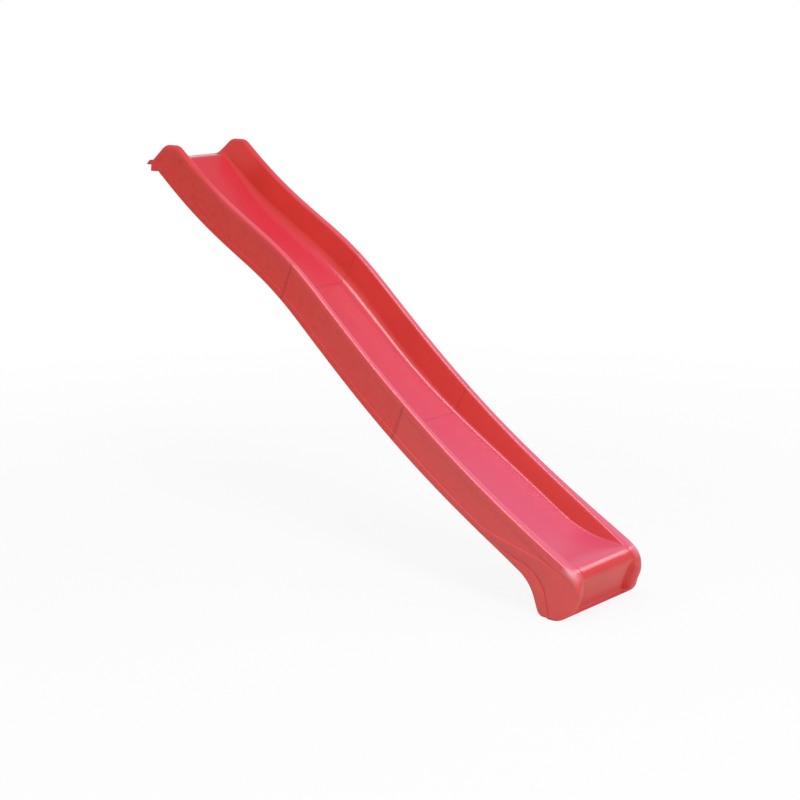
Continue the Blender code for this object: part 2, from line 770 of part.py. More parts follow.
def drill_joint(number, joint, sections, finish):
    """One cutter with a hole for each bolt, taken out of both lapped sections."""
    places, stack = bolt_row(joint)
    bm = bmesh.new()
    for place in places:
        prism(bm, ROUND_SIDES, BOLT_RADIUS + HOLE_GAP, -stack - SKIN / 2, WASHER_THICK, place)
    holes = finish_mesh(f"joint_{number}_holes", bm, finish)
    for section in sections:
        combine(section, holes, "DIFFERENCE")


def joint_fasteners(number, joint, finish):
    """One row of bolts, with a washer under each head and a captive nut inside the spigot."""
    places, stack = bolt_row(joint)
    bore = BOLT_RADIUS + THREAD_GAP
    washer_top = SEAT_GAP + WASHER_THICK
    nut_seat = -stack - SEAT_GAP
    disc = circle(WASHER_RADIUS, ROUND_SIDES)
    for k, place in enumerate(places, 1):
        tag = f"joint_{number}_%s_{k}"
        bolt = bolt_solid(tag % "bolt", stack, finish)
        washer = ring_solid(tag % "washer", disc, bore, SEAT_GAP, washer_top, finish)
        nut = ring_solid(tag % "nut", hexagon(NUT_FLATS), bore, nut_seat - NUT_HEIGHT, nut_seat, finish)
        for piece in (bolt, washer, nut):
            piece.matrix_world = place


def main():
    clear_scene()
    plastic = material("red_plastic", RED_PLASTIC, PLASTIC_ROUGHNESS, 0.0)
    zinc = material("zinc_steel", ZINC, ZINC_ROUGHNESS, 1.0)
    sections = [upper_section(plastic), middle_section(plastic), lower_section(plastic)]
    for number, joint in enumerate(JOINTS_AT, 1):
        drill_joint(number, joint, sections[number - 1 : number + 1], plastic)
        joint_fasteners(number, joint, zinc)
    add_entry_edge(sections[0], plastic)
    print(f"deck height above ground {-ground_level():.3f} m")


main()
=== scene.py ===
# %% [markdown]
# # A wavy garden slide
#
# The slide is three hollow mouldings of red polyethylene, bolted together under the trough.
# The CAD model is loaded first. It fixes every size and place, and it is never moved.
# Each later step dresses one piece of it, in metres and in the same frame:
# +X runs level and downhill, +Y across, +Z up, and the origin is under the middle of the deck flange.

# %% Load the CAD model as a fixed frame
import json
import math
from functools import partial, reduce

import bmesh
import bpy
import numpy as np
from mathutils import Matrix, Vector

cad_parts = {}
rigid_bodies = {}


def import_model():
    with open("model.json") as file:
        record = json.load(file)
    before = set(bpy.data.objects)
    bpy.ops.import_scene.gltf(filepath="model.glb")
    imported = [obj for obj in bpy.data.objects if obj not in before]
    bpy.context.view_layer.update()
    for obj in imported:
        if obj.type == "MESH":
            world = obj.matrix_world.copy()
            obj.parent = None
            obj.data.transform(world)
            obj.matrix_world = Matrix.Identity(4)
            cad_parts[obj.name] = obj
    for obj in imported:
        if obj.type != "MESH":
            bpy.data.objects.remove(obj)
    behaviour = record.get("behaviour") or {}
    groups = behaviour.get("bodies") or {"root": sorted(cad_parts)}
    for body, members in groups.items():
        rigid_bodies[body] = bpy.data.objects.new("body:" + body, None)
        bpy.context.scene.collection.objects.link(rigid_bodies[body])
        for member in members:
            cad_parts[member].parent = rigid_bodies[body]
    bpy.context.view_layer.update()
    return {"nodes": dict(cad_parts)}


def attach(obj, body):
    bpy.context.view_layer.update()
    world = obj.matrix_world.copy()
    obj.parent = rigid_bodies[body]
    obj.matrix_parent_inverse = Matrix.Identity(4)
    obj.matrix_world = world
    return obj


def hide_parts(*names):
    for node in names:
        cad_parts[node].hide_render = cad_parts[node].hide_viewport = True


for leftover in list(bpy.data.objects):
    bpy.data.objects.remove(leftover, do_unlink=True)
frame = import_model()
nodes = frame["nodes"]

# %% [markdown]
# ## The line of the rim
#
# A slide like this is drawn from the side: one smooth line that dips, steepens and flattens.
# It could be a hand-placed curve, but a few slopes at known distances are easier to change,
# and walking down them in small steps gives the same wave that the mouldings have.

# %% Walk down the slope, station by station
RIM_LENGTH = 2.504
STATION_AT = (0.0, 0.56, 1.0, 2.3)
STATION_SLOPE = (40.0, 29.2, 41.3, 29.7)
STEP = 0.004
SPARE = 0.26
HUMP_TOP = np.array([0.138, 0.118])


def ease(low, high, value):
    share = np.clip((value - low) / (high - low), 0.0, 1.0)
    return share * share * (3.0 - 2.0 * share)


def eased(stations, values, along):
    """A value that eases from station to station."""
    total = values[0] + 0.0 * along
    for k in range(len(stations) - 1):
        total = total + (values[k + 1] - values[k]) * ease(stations[k], stations[k + 1], along)
    return total


def slope_at(along):
    return np.radians(eased(STATION_AT, STATION_SLOPE, along))


ALONG = np.arange(int((RIM_LENGTH + 2 * SPARE) / STEP) + 1) * STEP - SPARE
fall = slope_at(ALONG[:-1] + STEP / 2)
walked = np.vstack([np.zeros(2), np.cumsum(np.stack([np.cos(fall), -np.sin(fall)], 1) * STEP, 0)])
start_at = np.array([np.interp(0.0, ALONG, walked[:, i]) for i in range(2)])
RIM = walked - start_at + HUMP_TOP


def rim_at(along):
    return np.array([np.interp(along, ALONG, RIM[:, i]) for i in range(2)])


def part_of(line, after, before=math.inf):
    return line[(ALONG > after) & (ALONG < before)]


def below_rim(depth):
    slopes = slope_at(ALONG)
    return RIM + np.stack([-np.sin(slopes), -np.cos(slopes)], 1) * np.reshape(depth, (-1, 1))


print(f"rim line falls from {HUMP_TOP[1]:.3f} to {rim_at(RIM_LENGTH)[1]:.3f} m")

# %% [markdown]
# ## Guide lines seen from the side
#
# Four lines in the side view steer every cross-section: the top of the wall, the sliding bed,
# the underside, and the moulded line above the lower edge that swings down the foot.
# Each is a chain of straight runs with rounded corners, which is how a mould maker would dimension it.


# %% Round the corners of a chain of straight runs
def heading(degrees):
    return np.array([math.cos(math.radians(degrees)), math.sin(math.radians(degrees))])


def meet(point, direction, other, other_direction):
    sides = np.column_stack([direction, -np.asarray(other_direction)])
    return np.asarray(point) + np.linalg.solve(sides, np.asarray(other) - point)[0] * np.asarray(direction)


EVEN_SHARE = (0.48, 0.48)
LONG_SHARE = (0.90, 0.48)


def rounded(corners, radii, parts, shares=None):
    """Arcs at the corners. Each takes at most its share of the run before it and of the run after it."""
    shares = shares or [EVEN_SHARE] * len(radii)
    points = [corners[0]]
    for k, (radius, count, share) in enumerate(zip(radii, parts, shares), 1):
        inward, outward = corners[k - 1] - corners[k], corners[k + 1] - corners[k]
        lengths = np.linalg.norm(inward), np.linalg.norm(outward)
        inward, outward = inward / lengths[0], outward / lengths[1]
        turn = math.pi - math.acos(float(np.clip(inward @ outward, -1.0, 1.0)))
        room = min(share[0] * lengths[0], share[1] * lengths[1])
        radius = min(radius, room / max(math.tan(turn / 2), 1e-6))
        middle = inward + outward
        middle = middle / max(np.linalg.norm(middle), 1e-9)
        centre = corners[k] + middle * radius / math.cos(turn / 2)
        first = corners[k] + inward * radius * math.tan(turn / 2) - centre
        side = np.array([-first[1], first[0]])
        side = side if side @ inward < 0 else -side
        angles = turn * np.arange(count + 1) / max(count, 1)
        points += [centre + first * math.cos(a) + side * math.sin(a) for a in angles]
    points.append(corners[-1])
    return np.array(points)


# %% Sizes in the side view
RAKE = math.radians(22.0)
DECK_TOP = 0.021
LIP_LOW = -0.023
FAR = 0.5
SIGHT = 0.05
BED_AT = (0.05, 0.35, 0.80, 1.20, 2.0)
BED_DEPTH = (0.108, 0.123, 0.127, 0.123, 0.083)
WALL_DEPTH, BAND_HEIGHT = 0.1545, 0.0205
HUMP_HEIGHT, HUMP_BACK, HUMP_ROUND, HUMP_FOOT_ROUND = 0.087, 40.0, 0.050, 0.030
ENTRY_ROUND, LIP_ROUND = 0.05, 0.009
NOSE_RADIUS, NOSE_HEIGHT = 0.085, 0.16398
END_RECESS, END_LEAN, END_EDGE = 0.027, 0.003, 0.042
EXIT_HEIGHT, STRIP_HEIGHT, STRIP_PROUD, STRIP_ROUND = 0.193, 0.029, 0.004, 0.0025
STRIP_FRONT = END_RECESS - END_LEAN - STRIP_PROUD
RUN_OUT_SLOPE = 4.0
FOOT_LENGTH, FOOT_LEAN, FOOT_FILLET, HEEL_ROUND, TOE_ROUND = 0.1257, 20.0, 0.260, 0.028, 0.098
GROOVE_FOOT, GROOVE_LEAN, GROOVE_FALL, GROOVE_KNEE = 0.0747, 13.5, 17.5, 0.1555
GROOVE_BEND, GROOVE_ROUND, GROOVE_SHARE = 0.10, 0.160, (0.48, 0.60)
FOOT_RUN, NOSE_RUN, HUMP_RUN, HUMP_FLAT = 0.45, 0.15, 0.15, 0.069
SPREAD_AT, RIM_DROP, RIM_SPREAD = (1.50, 2.30), 0.006, 0.009

DOWN = np.array([-math.sin(RAKE), -math.cos(RAKE)])
FORWARD = np.array([math.cos(RAKE), -math.sin(RAKE)])
LEVEL = heading(0.0)
NOSE = rim_at(RIM_LENGTH)
GROUND = NOSE[1] - NOSE_HEIGHT
DECK_LINE = np.array([0.0, DECK_TOP])
GROUND_LINE = np.array([0.0, GROUND])
TOE = meet(NOSE, DOWN, GROUND_LINE, LEVEL)
print(f"ground at {GROUND:.4f} m, toe at {TOE[0]:.4f} m")


# %% Draw the top of the wall and the bed
def at_height(height):
    return GROUND_LINE + [0.0, height]


def wall_top_line():
    rise = HUMP_HEIGHT - DECK_TOP
    crown = meet(np.array([0.0, HUMP_HEIGHT]), LEVEL, HUMP_TOP, rim_at(SIGHT) - HUMP_TOP)
    shoulder = crown - LEVEL * HUMP_FLAT
    foot = shoulder - np.array([rise / math.tan(math.radians(HUMP_BACK)), rise])
    corners = [foot - LEVEL * FAR, foot, shoulder, crown, rim_at(HUMP_RUN)]
    hump = rounded(corners, (HUMP_FOOT_ROUND, HUMP_ROUND, HUMP_ROUND), parts=(16, 16, 16))
    lowered = below_rim(RIM_DROP * ease(*SPREAD_AT, ALONG))
    slope = part_of(lowered, HUMP_RUN, RIM_LENGTH - NOSE_RUN)
    tip = meet(NOSE, DOWN, slope[-1], slope[-1] - slope[-2])
    nose = rounded([slope[-1], tip, tip + DOWN * FAR], (NOSE_RADIUS,), parts=(24,))
    return np.vstack([hump[:-1], slope[:-1], nose])


def bed_line():
    line = below_rim(eased(BED_AT, BED_DEPTH, ALONG))
    first = part_of(line, SIGHT)[0]
    crest = meet(DECK_LINE, LEVEL, first, part_of(line, 2 * SIGHT)[0] - first)
    entry = rounded([crest - LEVEL * FAR, crest, first], (ENTRY_ROUND,), parts=(24,))
    face = NOSE - FORWARD * END_RECESS
    edge = meet(face, DOWN, at_height(EXIT_HEIGHT), LEVEL)
    sill = meet(face, DOWN, at_height(STRIP_HEIGHT), LEVEL) + FORWARD * END_LEAN
    lower, before = part_of(line, BED_AT[-1])[0], part_of(line, BED_AT[-1] - SIGHT)[0]
    bend = meet(lower, lower - before, edge, heading(-RUN_OUT_SLOPE))
    strip = meet(NOSE - FORWARD * STRIP_FRONT, DOWN, sill, LEVEL)
    corners = [lower, bend, edge, sill, strip, strip + DOWN * FAR]
    radii = (FAR, END_EDGE, END_LEAN / 2, STRIP_ROUND)
    end = rounded(corners, radii, parts=(32, 24, 8, 8), shares=[LONG_SHARE] + [EVEN_SHARE] * 3)
    return np.vstack([entry, part_of(line, SIGHT, BED_AT[-1])[1:], end])


WALL_TOP, BED = wall_top_line(), bed_line()
print(f"wall top of {len(WALL_TOP)} points, bed of {len(BED)}")


# %% Draw the underside and the moulded line above it
def beside_underside(lift):
    """The lower edge on the slope or a line lifted above it, its last point there and the way it goes on."""
    line = below_rim(np.full(len(ALONG), WALL_DEPTH - lift))
    first, foot_at = part_of(line, 0.0)[0], RIM_LENGTH - FOOT_RUN
    corner = meet(np.array([0.0, LIP_LOW + lift]), LEVEL, first, first - part_of(line, SIGHT)[0])
    entry = rounded([corner - LEVEL * FAR, corner, first], (LIP_ROUND,), parts=(8,))
    last, following = part_of(line, foot_at)[0], part_of(line, foot_at + SIGHT)[0]
    return np.vstack([entry, part_of(line, 0.0, foot_at)[1:]]), last, following - last


def underside_line():
    slope, last, flow = beside_underside(0.0)
    heel = TOE - LEVEL * FOOT_LENGTH
    knee = meet(heel, heading(90.0 + FOOT_LEAN), last, flow)
    corners = [last, knee, heel, TOE, TOE - DOWN * FAR]
    return np.vstack([slope, rounded(corners, (FOOT_FILLET, HEEL_ROUND, TOE_ROUND), parts=(24, 24, 24))])


def groove_line():
    slope, last, flow = beside_underside(BAND_HEIGHT)
    foot = TOE - LEVEL * GROOVE_FOOT
    knee = meet(foot, heading(90.0 + GROOVE_LEAN), at_height(GROOVE_KNEE), LEVEL)
    bend = meet(last, flow, knee, heading(-GROOVE_FALL))
    radii, shares = (GROOVE_BEND, GROOVE_ROUND), [EVEN_SHARE, GROOVE_SHARE]
    return np.vstack([slope, rounded([last, bend, knee, foot], radii, parts=(12, 24), shares=shares)])


UNDERSIDE, BAND_LINE = underside_line(), groove_line()
print(f"underside of {len(UNDERSIDE)} points, moulded line of {len(BAND_LINE)}")

# %% [markdown]
# ## One rule for every cross-section
#
# A cross-section is a thick letter U, cut square to the mould and not to the ground, so it leans 22 degrees.
# Its corners come from the guide lines, and its width from a few named sizes.
# Down the outside come the rolled rim, a small step to the recessed panel, a crease that climbs to the rim
# near the nose, a moulded line, and a band along the lower edge.
# A hand-modelled mesh with a subdivision surface would also do, but one rule keeps all the small steps
# the same size from the top to the foot.

# %% Sizes across the slide
RAKE_GROWS = (-0.12, 0.16)
RIM_SPACING, RIM_ROUND, NOSE_RIM = 0.375, 0.0145, 0.008
KNUCKLE_AT, KNUCKLE_ROUND = (RIM_LENGTH - 0.110, RIM_LENGTH - 0.030), 0.019
BED_WIDTH, NOSE_WALL_LEAN = 0.305, 0.004
FILLET_AT, BED_FILLET = (0.0, 0.35, 0.9, 1.5, 2.2), (0.012, 0.050, 0.055, 0.024, 0.010)
BEAD_DROP, NOSE_BEAD, BEAD_SHARE = 0.024, 0.036, 0.35
PANEL_RECESS, PANEL_FAINT, PANEL_SHARE = 0.004, 0.40, 0.3
PANEL_BEGINS, PANEL_GROWS, PANEL_ENDS = (0.06, 0.30), (1.20, 1.90), (2.30, 2.42)
STEP_SLOPE, STEP_REACH, STEP_CLEAR, LEAST_STEP = 3.0, 4.4, 0.002, 0.0002
CREASE_AT, CREASE_DROP = (1.90, 2.36), (0.165, 0.036)
LINE_AT, LINE_HALF, LINE_DEPTH, LINE_CLEAR = (2.05, 2.25), 0.0032, 0.0048, 0.003
BAND_OPENS, BAND_SHARE, LEAST_BAND = (0.010, 0.022), 0.12, 0.010
WALL_FLARE, FOOT_FLARE, FLARE_LENGTH = 0.004, 0.0115, 0.40
BOTTOM_ROUND, FOOT_BOTTOM_ROUND, SOLE_EDGE = 0.009, 0.014, 0.006
SIDE_DRAW, SIDE_DEPTH, INNER_DRAW, INNER_DEPTH = 0.021, 0.058, 0.027, 0.042
LEAST_WALL, LEAST_STRIP, LEAST_ROUND = 0.002, 0.007, 0.001
RELIEF_ROUNDS = (0.004, 0.004, 0.003, 0.003, 0.001, 0.001, 0.001)
CORNER_PARTS = (12, 10, 10, 3, 3, 3, 3, 1, 1, 1, 6, 0, 0)
CORNER_SHARES = [(0.90, 0.70), (0.28, 0.48), (0.48, 0.92), (0.07, 0.48)] + [EVEN_SHARE] * 9


def between(first, last, share):
    return first + (last - first) * share


def section_frame(along):
    lean = RAKE * float(ease(*RAKE_GROWS, along))
    return rim_at(along), np.array([-math.sin(lean), -math.cos(lean)])


def reach(guide, start, down, otherwise=None):
    """How far down the section's plane the guide line is crossed."""
    sides = (guide - start) @ np.array([-down[1], down[0]])
    crossed = np.nonzero((sides[:-1] < 0) & (sides[1:] >= 0))[0]
    if len(crossed) == 0:
        return otherwise
    k = crossed[0]
    share = sides[k] / (sides[k] - sides[k + 1])
    return float((guide[k] + share * (guide[k + 1] - guide[k]) - start) @ down)


def drawn_in(along, amount, depth):
    """How far a wall's face draws in close to the front, for round corners seen from above."""
    behind = (RIM_LENGTH - along) * math.cos(float(slope_at(RIM_LENGTH)) - RAKE)
    share = 1.0 - min(max(behind / depth, 0.0), 1.0)
    return amount * (1.0 - math.sqrt(1.0 - share * share))


# %% Heights and roundings of one section
def nose_share(along):
    return float(ease(RIM_LENGTH - FLARE_LENGTH, RIM_LENGTH, along))


def panel_step(along):
    """Depth of the wall panel: nothing at its ends, faint uphill, full downhill."""
    panel = float(ease(*PANEL_BEGINS, along) * (1.0 - ease(*PANEL_ENDS, along)))
    panel *= PANEL_FAINT + (1.0 - PANEL_FAINT) * float(ease(*PANEL_GROWS, along))
    return max(PANEL_RECESS * panel, LEAST_STEP)


def section_heights(along):
    """How far down lie the rim, the bed, the underside, the bead, the crease and the moulded line."""
    start, down = section_frame(along)
    top = reach(WALL_TOP, start, down)
    low = reach(UNDERSIDE, start, down)
    tall = low - top
    bed = min(max(reach(BED, start, down, low), top + LEAST_WALL), low - LEAST_STRIP)
    bead = top + min(between(BEAD_DROP, NOSE_BEAD, nose_share(along)), BEAD_SHARE * tall)
    line = min(reach(BAND_LINE, start, down, low), low - min(LEAST_BAND, BAND_SHARE * tall))
    line = max(line, bead + PANEL_SHARE * tall)
    crease = top + np.interp(along, CREASE_AT, CREASE_DROP)
    crease = max(crease, bead + STEP_REACH * panel_step(along) + STEP_CLEAR)
    return top, bed, low, bead, min(crease, line - LINE_HALF - LINE_CLEAR), line


def corner_radii(along, inset):
    nose = nose_share(along)
    rim = between(between(RIM_ROUND, NOSE_RIM, nose), KNUCKLE_ROUND, float(ease(*KNUCKLE_AT, along)))
    rim = max(rim - inset, LEAST_ROUND)
    bed = float(np.interp(along, FILLET_AT, BED_FILLET)) + inset
    bottom = max(between(BOTTOM_ROUND, FOOT_BOTTOM_ROUND, nose) - inset, LEAST_ROUND)
    return (bed, rim, rim, *RELIEF_ROUNDS, bottom, 0.0, 0.0)


# %% The corners of one half section, and the same moved into the wall for the hollow
def shrunk(corners, inset):
    flows = [(b - a) / np.linalg.norm(b - a) for a, b in zip(corners, corners[1:])]
    bases = [a + inset * np.array([-f[1], f[0]]) for a, f in zip(corners, flows)]
    upright = (np.zeros(2), np.array([0.0, 1.0]))
    moved = [meet(*upright, bases[0], flows[0])]
    moved += [meet(b, f, c, g) for b, f, c, g in zip(bases, flows, bases[1:], flows[1:])]
    return np.array(moved + [meet(*upright, bases[-1], flows[-1])])


def half_section(along, inset=0.0):
    """Corners from the middle of the bed over the rim to the middle of the sole, and how round each is."""
    nose, step = nose_share(along), panel_step(along)
    top, bed, low, bead, crease, line = section_heights(along)
    drawn = drawn_in(along, INNER_DRAW, INNER_DEPTH)
    bed_half = BED_WIDTH / 2 + drawn
    rim_in = between(RIM_SPACING / 2 - RIM_ROUND, BED_WIDTH / 2 + NOSE_WALL_LEAN, nose) + drawn
    low_out = RIM_SPACING / 2 + RIM_ROUND - drawn_in(along, SIDE_DRAW, SIDE_DEPTH)
    rim_out = low_out + RIM_SPREAD * float(ease(*SPREAD_AT, along))
    low_out += WALL_FLARE + FOOT_FLARE * nose
    panel_out = rim_out - step
    trough = [(0.0, bed), (bed_half, bed), (rim_in, top)]
    heights = (bead, bead + STEP_SLOPE * step, crease - step, crease)
    heights += (line - LINE_HALF, line, line + LINE_HALF)
    if inset > 0.0:
        corners = shrunk(np.array(trough + [(panel_out, top), (panel_out, low), (0.0, low)]), inset)
        wall = [corners[3] + (corners[4] - corners[3]) * (h - top) / (low - top) for h in heights]
        corners = np.vstack([corners[:4], wall, corners[4:]])
    else:
        line_out = rim_out + (low_out - rim_out) * (line - crease) / (low - crease)
        cut = LINE_DEPTH * float(ease(*LINE_AT, along)) * float(ease(*BAND_OPENS, low - line)) + LEAST_STEP
        outs = (rim_out, panel_out, panel_out, rim_out, line_out, line_out - cut, line_out)
        corners = np.array(trough + [(rim_out, top), *zip(outs, heights), (low_out, low), (0.0, low)])
    sole = [(half, corners[-1][1]) for half in (bed_half + SOLE_EDGE, bed_half)]
    return np.vstack([corners[:-1], sole, corners[-1:]]), corner_radii(along, inset)


# %% Closed loops of points round the slide
RIM_CROWN = CORNER_PARTS[0] + CORNER_PARTS[1] + 3
PILLAR_CROWN = CORNER_PARTS[1] + 2
WALL_FOOT = CORNER_PARTS[0] + 1


def girth_from(outline, crown):
    """Distance round an outline from the crown of the rim: below 0 inside, above 0 outside."""
    girth = np.concatenate([[0.0], np.cumsum(np.linalg.norm(np.diff(outline, axis=0), axis=1))])
    return girth - girth[crown]


def in_space(along, across, depth):
    start, down = section_frame(along)
    return np.stack([start[0] + down[0] * depth, across, start[1] + down[1] * depth], 1)


def ring(along, inset=0.0):
    """A closed loop of points, with the distance along and round the section at each of them."""
    half = rounded(*half_section(along, inset), CORNER_PARTS, CORNER_SHARES)
    girth = girth_from(half, RIM_CROWN)
    across = np.concatenate([half[:, 0], -half[-2:0:-1, 0]])
    depth = np.concatenate([half[:, 1], half[-2:0:-1, 1]])
    girth = np.concatenate([girth, girth[-2:0:-1]])
    return in_space(along, across, depth), np.full(len(across), along), girth


def pillar_ring(along, side):
    """A closed loop round one pillar in front of the end face, from its inner face round to its sole."""
    corners, radii = half_section(along)
    inner, low = corners[1][0], corners[-1][1]
    outline = np.vstack([(inner, low - 2 * SOLE_EDGE), corners[2:-2], (inner, low - SOLE_EDGE)])
    loop = rounded(outline, radii[1:-1], CORNER_PARTS[1:-1], CORNER_SHARES[1:-1])
    points = in_space(along, side * loop[:, 0], loop[:, 1])
    return points, np.full(len(points), along), girth_from(loop, PILLAR_CROWN)


def lid(this_ring):
    """The ring folded onto its own middle line, which closes a section with a flat end."""
    points, along, girth = this_ring
    count = len(points)
    half = count // 2
    pair = [half - k if k <= half else half + count - k for k in range(count)]
    return (points + points[pair]) / 2, along, girth


print(f"{len(ring(1.0)[0])} points round each section")

# %% [markdown]
# ## A node tree that skins a row of rings
#
# Moulded skin follows one rule: it runs smoothly from ring to ring.
# So a Geometry Nodes tree takes the ring points, lays a grid of the right count over them,
# and puts each grid point on its ring point. The seam is merged, and the distances along and round
# the slide become the UV map, so that later scuffs can follow the way a body slides.


# %% Helpers for node trees
def wire(node, inputs):
    """Give each named input a plain value, or a wire from another node's output."""
    for name, value in inputs.items():
        if isinstance(value, bpy.types.NodeSocket):
            node.id_data.links.new(value, node.inputs[name])
        else:
            node.inputs[name].default_value = value
    return node


def add_node(tree, kind, inputs=None, **settings):
    node = tree.nodes.new(kind)
    for name, value in settings.items():
        setattr(node, name, value)
    return wire(node, inputs or {})


def new_tree(name, inputs, output):
    """A Geometry Nodes tree with named inputs and one output, and what its input node gives."""
    tree = bpy.data.node_groups.new(name, "GeometryNodeTree")
    for label, kind in inputs.items():
        tree.interface.new_socket(label, in_out="INPUT", socket_type="NodeSocket" + kind)
    tree.interface.new_socket(output, in_out="OUTPUT", socket_type="NodeSocketGeometry")
    return tree, add_node(tree, "NodeGroupInput").outputs


def in_turn(tree, *chain):
    """Hand the geometry from each node to the next, and out of the tree."""
    chain = (*chain, add_node(tree, "NodeGroupOutput"))
    for before, after in zip(chain, chain[1:]):
        tree.links.new(before.outputs[0], after.inputs[0])


def whole_number(operation, first, second):
    tree = first.id_data
    return add_node(tree, "FunctionNodeIntegerMath", {0: first, 1: second}, operation=operation).outputs[0]


def named_value(tree, name, data_type="FLOAT"):
    node = add_node(tree, "GeometryNodeInputNamedAttribute", {"Name": name}, data_type=data_type)
    return node.outputs["Attribute"]


def sampled(source, value, data_type, index):
    inputs = {"Geometry": source, "Value": value, "Index": index}
    return add_node(source.id_data, "GeometryNodeSampleIndex", inputs, data_type=data_type).outputs["Value"]


# %% Build the skin tree
SEAM_WELD = 1e-5


def kept_value(tree, name, value, data_type, domain):
    inputs = {"Name": name, "Value": value}
    return add_node(tree, "GeometryNodeStoreNamedAttribute", inputs, data_type=data_type, domain=domain)


def skin_tree():
    inputs = {"Rings": "Geometry", "Ring count": "Int", "Points per ring": "Int", "Finish": "Material"}
    tree, given = new_tree("skin over rings", inputs, "Skin")
    rings, per_ring = given["Rings"], given["Points per ring"]
    wide = whole_number("ADD", per_ring, 1)
    grid = add_node(tree, "GeometryNodeMeshGrid", {"Vertices X": given["Ring count"], "Vertices Y": wide})
    index = add_node(tree, "GeometryNodeInputIndex").outputs[0]
    this_ring = whole_number("DIVIDE_FLOOR", index, wide)
    this_point = whole_number("MODULO", whole_number("MODULO", index, wide), per_ring)
    source = whole_number("ADD", whole_number("MULTIPLY", this_ring, per_ring), this_point)
    position = add_node(tree, "GeometryNodeInputPosition").outputs[0]
    on_ring = sampled(rings, position, "FLOAT_VECTOR", source)
    along, girth = [sampled(rings, named_value(tree, n), "FLOAT", source) for n in ("along", "girth")]
    unrolled = add_node(tree, "ShaderNodeCombineXYZ", {"X": along, "Y": girth}).outputs[0]
    flat = named_value(tree, "unrolled", "FLOAT_VECTOR")
    in_turn(
        tree,
        grid,
        add_node(tree, "GeometryNodeSetPosition", {"Position": on_ring}),
        kept_value(tree, "unrolled", unrolled, "FLOAT_VECTOR", "POINT"),
        kept_value(tree, "UVMap", flat, "FLOAT2", "CORNER"),
        add_node(tree, "GeometryNodeRemoveAttribute", {"Name": "unrolled"}),
        add_node(tree, "GeometryNodeMergeByDistance", {"Distance": SEAM_WELD}),
        add_node(tree, "GeometryNodeSetShadeSmooth"),
        add_node(tree, "GeometryNodeRealizeInstances"),
        add_node(tree, "GeometryNodeSetMaterial", {"Material": given["Finish"]}),
    )
    return tree


SKIN_TREE = skin_tree()
print(f"skin tree with {len(SKIN_TREE.nodes)} nodes")


# %% Helpers that run a tree or a modifier and keep the plain mesh
def placed(name, data):
    made = bpy.data.objects.new(name, data)
    bpy.context.scene.collection.objects.link(made)
    return made


def frozen(obj, name):
    """A new object at the origin that holds the evaluated mesh. The old object is removed."""
    bpy.context.view_layer.update()
    evaluated = obj.evaluated_get(bpy.context.evaluated_depsgraph_get())
    mesh = bpy.data.meshes.new_from_object(evaluated)
    bpy.data.objects.remove(obj, do_unlink=True)
    mesh.name = name
    return placed(name, mesh)


def through_tree(tree, name, points, marks, inputs):
    """What the tree makes of points that carry named marks."""
    mesh = bpy.data.meshes.new(name + "_points")
    mesh.from_pydata(points, [], [])
    for label, values in marks.items():
        mark = mesh.attributes.new(label, "FLOAT", "POINT")
        mark.data.foreach_set("value", np.array(values, dtype=np.float32))
    obj = placed(name + "_points", mesh)
    modifier = obj.modifiers.new(tree.name, "NODES")
    modifier.node_group = tree
    for item in tree.interface.items_tree:
        if item.name in inputs:
            modifier[item.identifier] = inputs[item.name]
    return frozen(obj, name)


def skin(name, rings, finish):
    points, along, girth = [np.concatenate(column) for column in zip(*rings)]
    inputs = {"Ring count": len(rings), "Points per ring": len(rings[0][0]), "Finish": finish}
    return through_tree(SKIN_TREE, name, points.tolist(), {"along": along, "girth": girth}, inputs)


# %% [markdown]
# ## Red moulded polyethylene
#
# The plastic is dyed through, so wear shows as a paler, duller red and not as another colour.
# The colour is laid on in thin coats, each a red and the masks that limit it: dull outer walls, a painted
# sheen on the tops and the rim's crown, a pinker bed that is partly wear and partly painted sheen, painted
# highlights on the knuckles and the strip's edge, painted shade in the seams and low on the end face,
# painted light on the strip under it, and a painted shadow at the sole.
# Masks that follow the slide read the UV map, which runs along and round it. Grain reads Object coordinates.
# A painted picture would also do, but masks made from distances follow any change of shape.
# Gloss comes from the shader and the lights. The painted highlights and sheen in the coats are colour, not
# gloss.


# %% Helpers for masks and colours
# A mix node lists its sockets for numbers, vectors and colours in one row. These are the ones for colours.
MIX_SHARE, MIX_FIRST, MIX_SECOND, MIX_COLOUR = 0, 6, 7, 2


def noise(place, scale, detail=2.0, roughness=0.5):
    inputs = {"Vector": place, "Scale": scale, "Detail": detail, "Roughness": roughness}
    return add_node(place.id_data, "ShaderNodeTexNoise", inputs).outputs["Fac"]


def ramp(value, low, high, start=0.0, end=1.0):
    inputs = {"Value": value, "From Min": low, "From Max": high, "To Min": start, "To Max": end}
    return add_node(value.id_data, "ShaderNodeMapRange", inputs).outputs["Result"]


def reckoned(operation, first, second):
    return add_node(first.id_data, "ShaderNodeMath", {0: first, 1: second}, operation=operation).outputs[0]


times, plus, less = [partial(reckoned, operation) for operation in ("MULTIPLY", "ADD", "SUBTRACT")]


def away_from(value, middle):
    return reckoned("ABSOLUTE", less(value, middle), 0.0)


def mixed(share, first, second):
    inputs = {MIX_SHARE: share, MIX_FIRST: first, MIX_SECOND: second}
    return add_node(share.id_data, "ShaderNodeMix", inputs, data_type="RGBA").outputs[MIX_COLOUR]


def parted(vector):
    return add_node(vector.id_data, "ShaderNodeSeparateXYZ", {"Vector": vector}).outputs


def bumped(height, strength, distance):
    inputs = {"Height": height, "Strength": strength, "Distance": distance}
    return add_node(height.id_data, "ShaderNodeBump", inputs).outputs[0]


def new_finish(name):
    material = bpy.data.materials.new(name)
    material.use_nodes = True
    return material, material.node_tree, material.node_tree.nodes["Principled BSDF"]


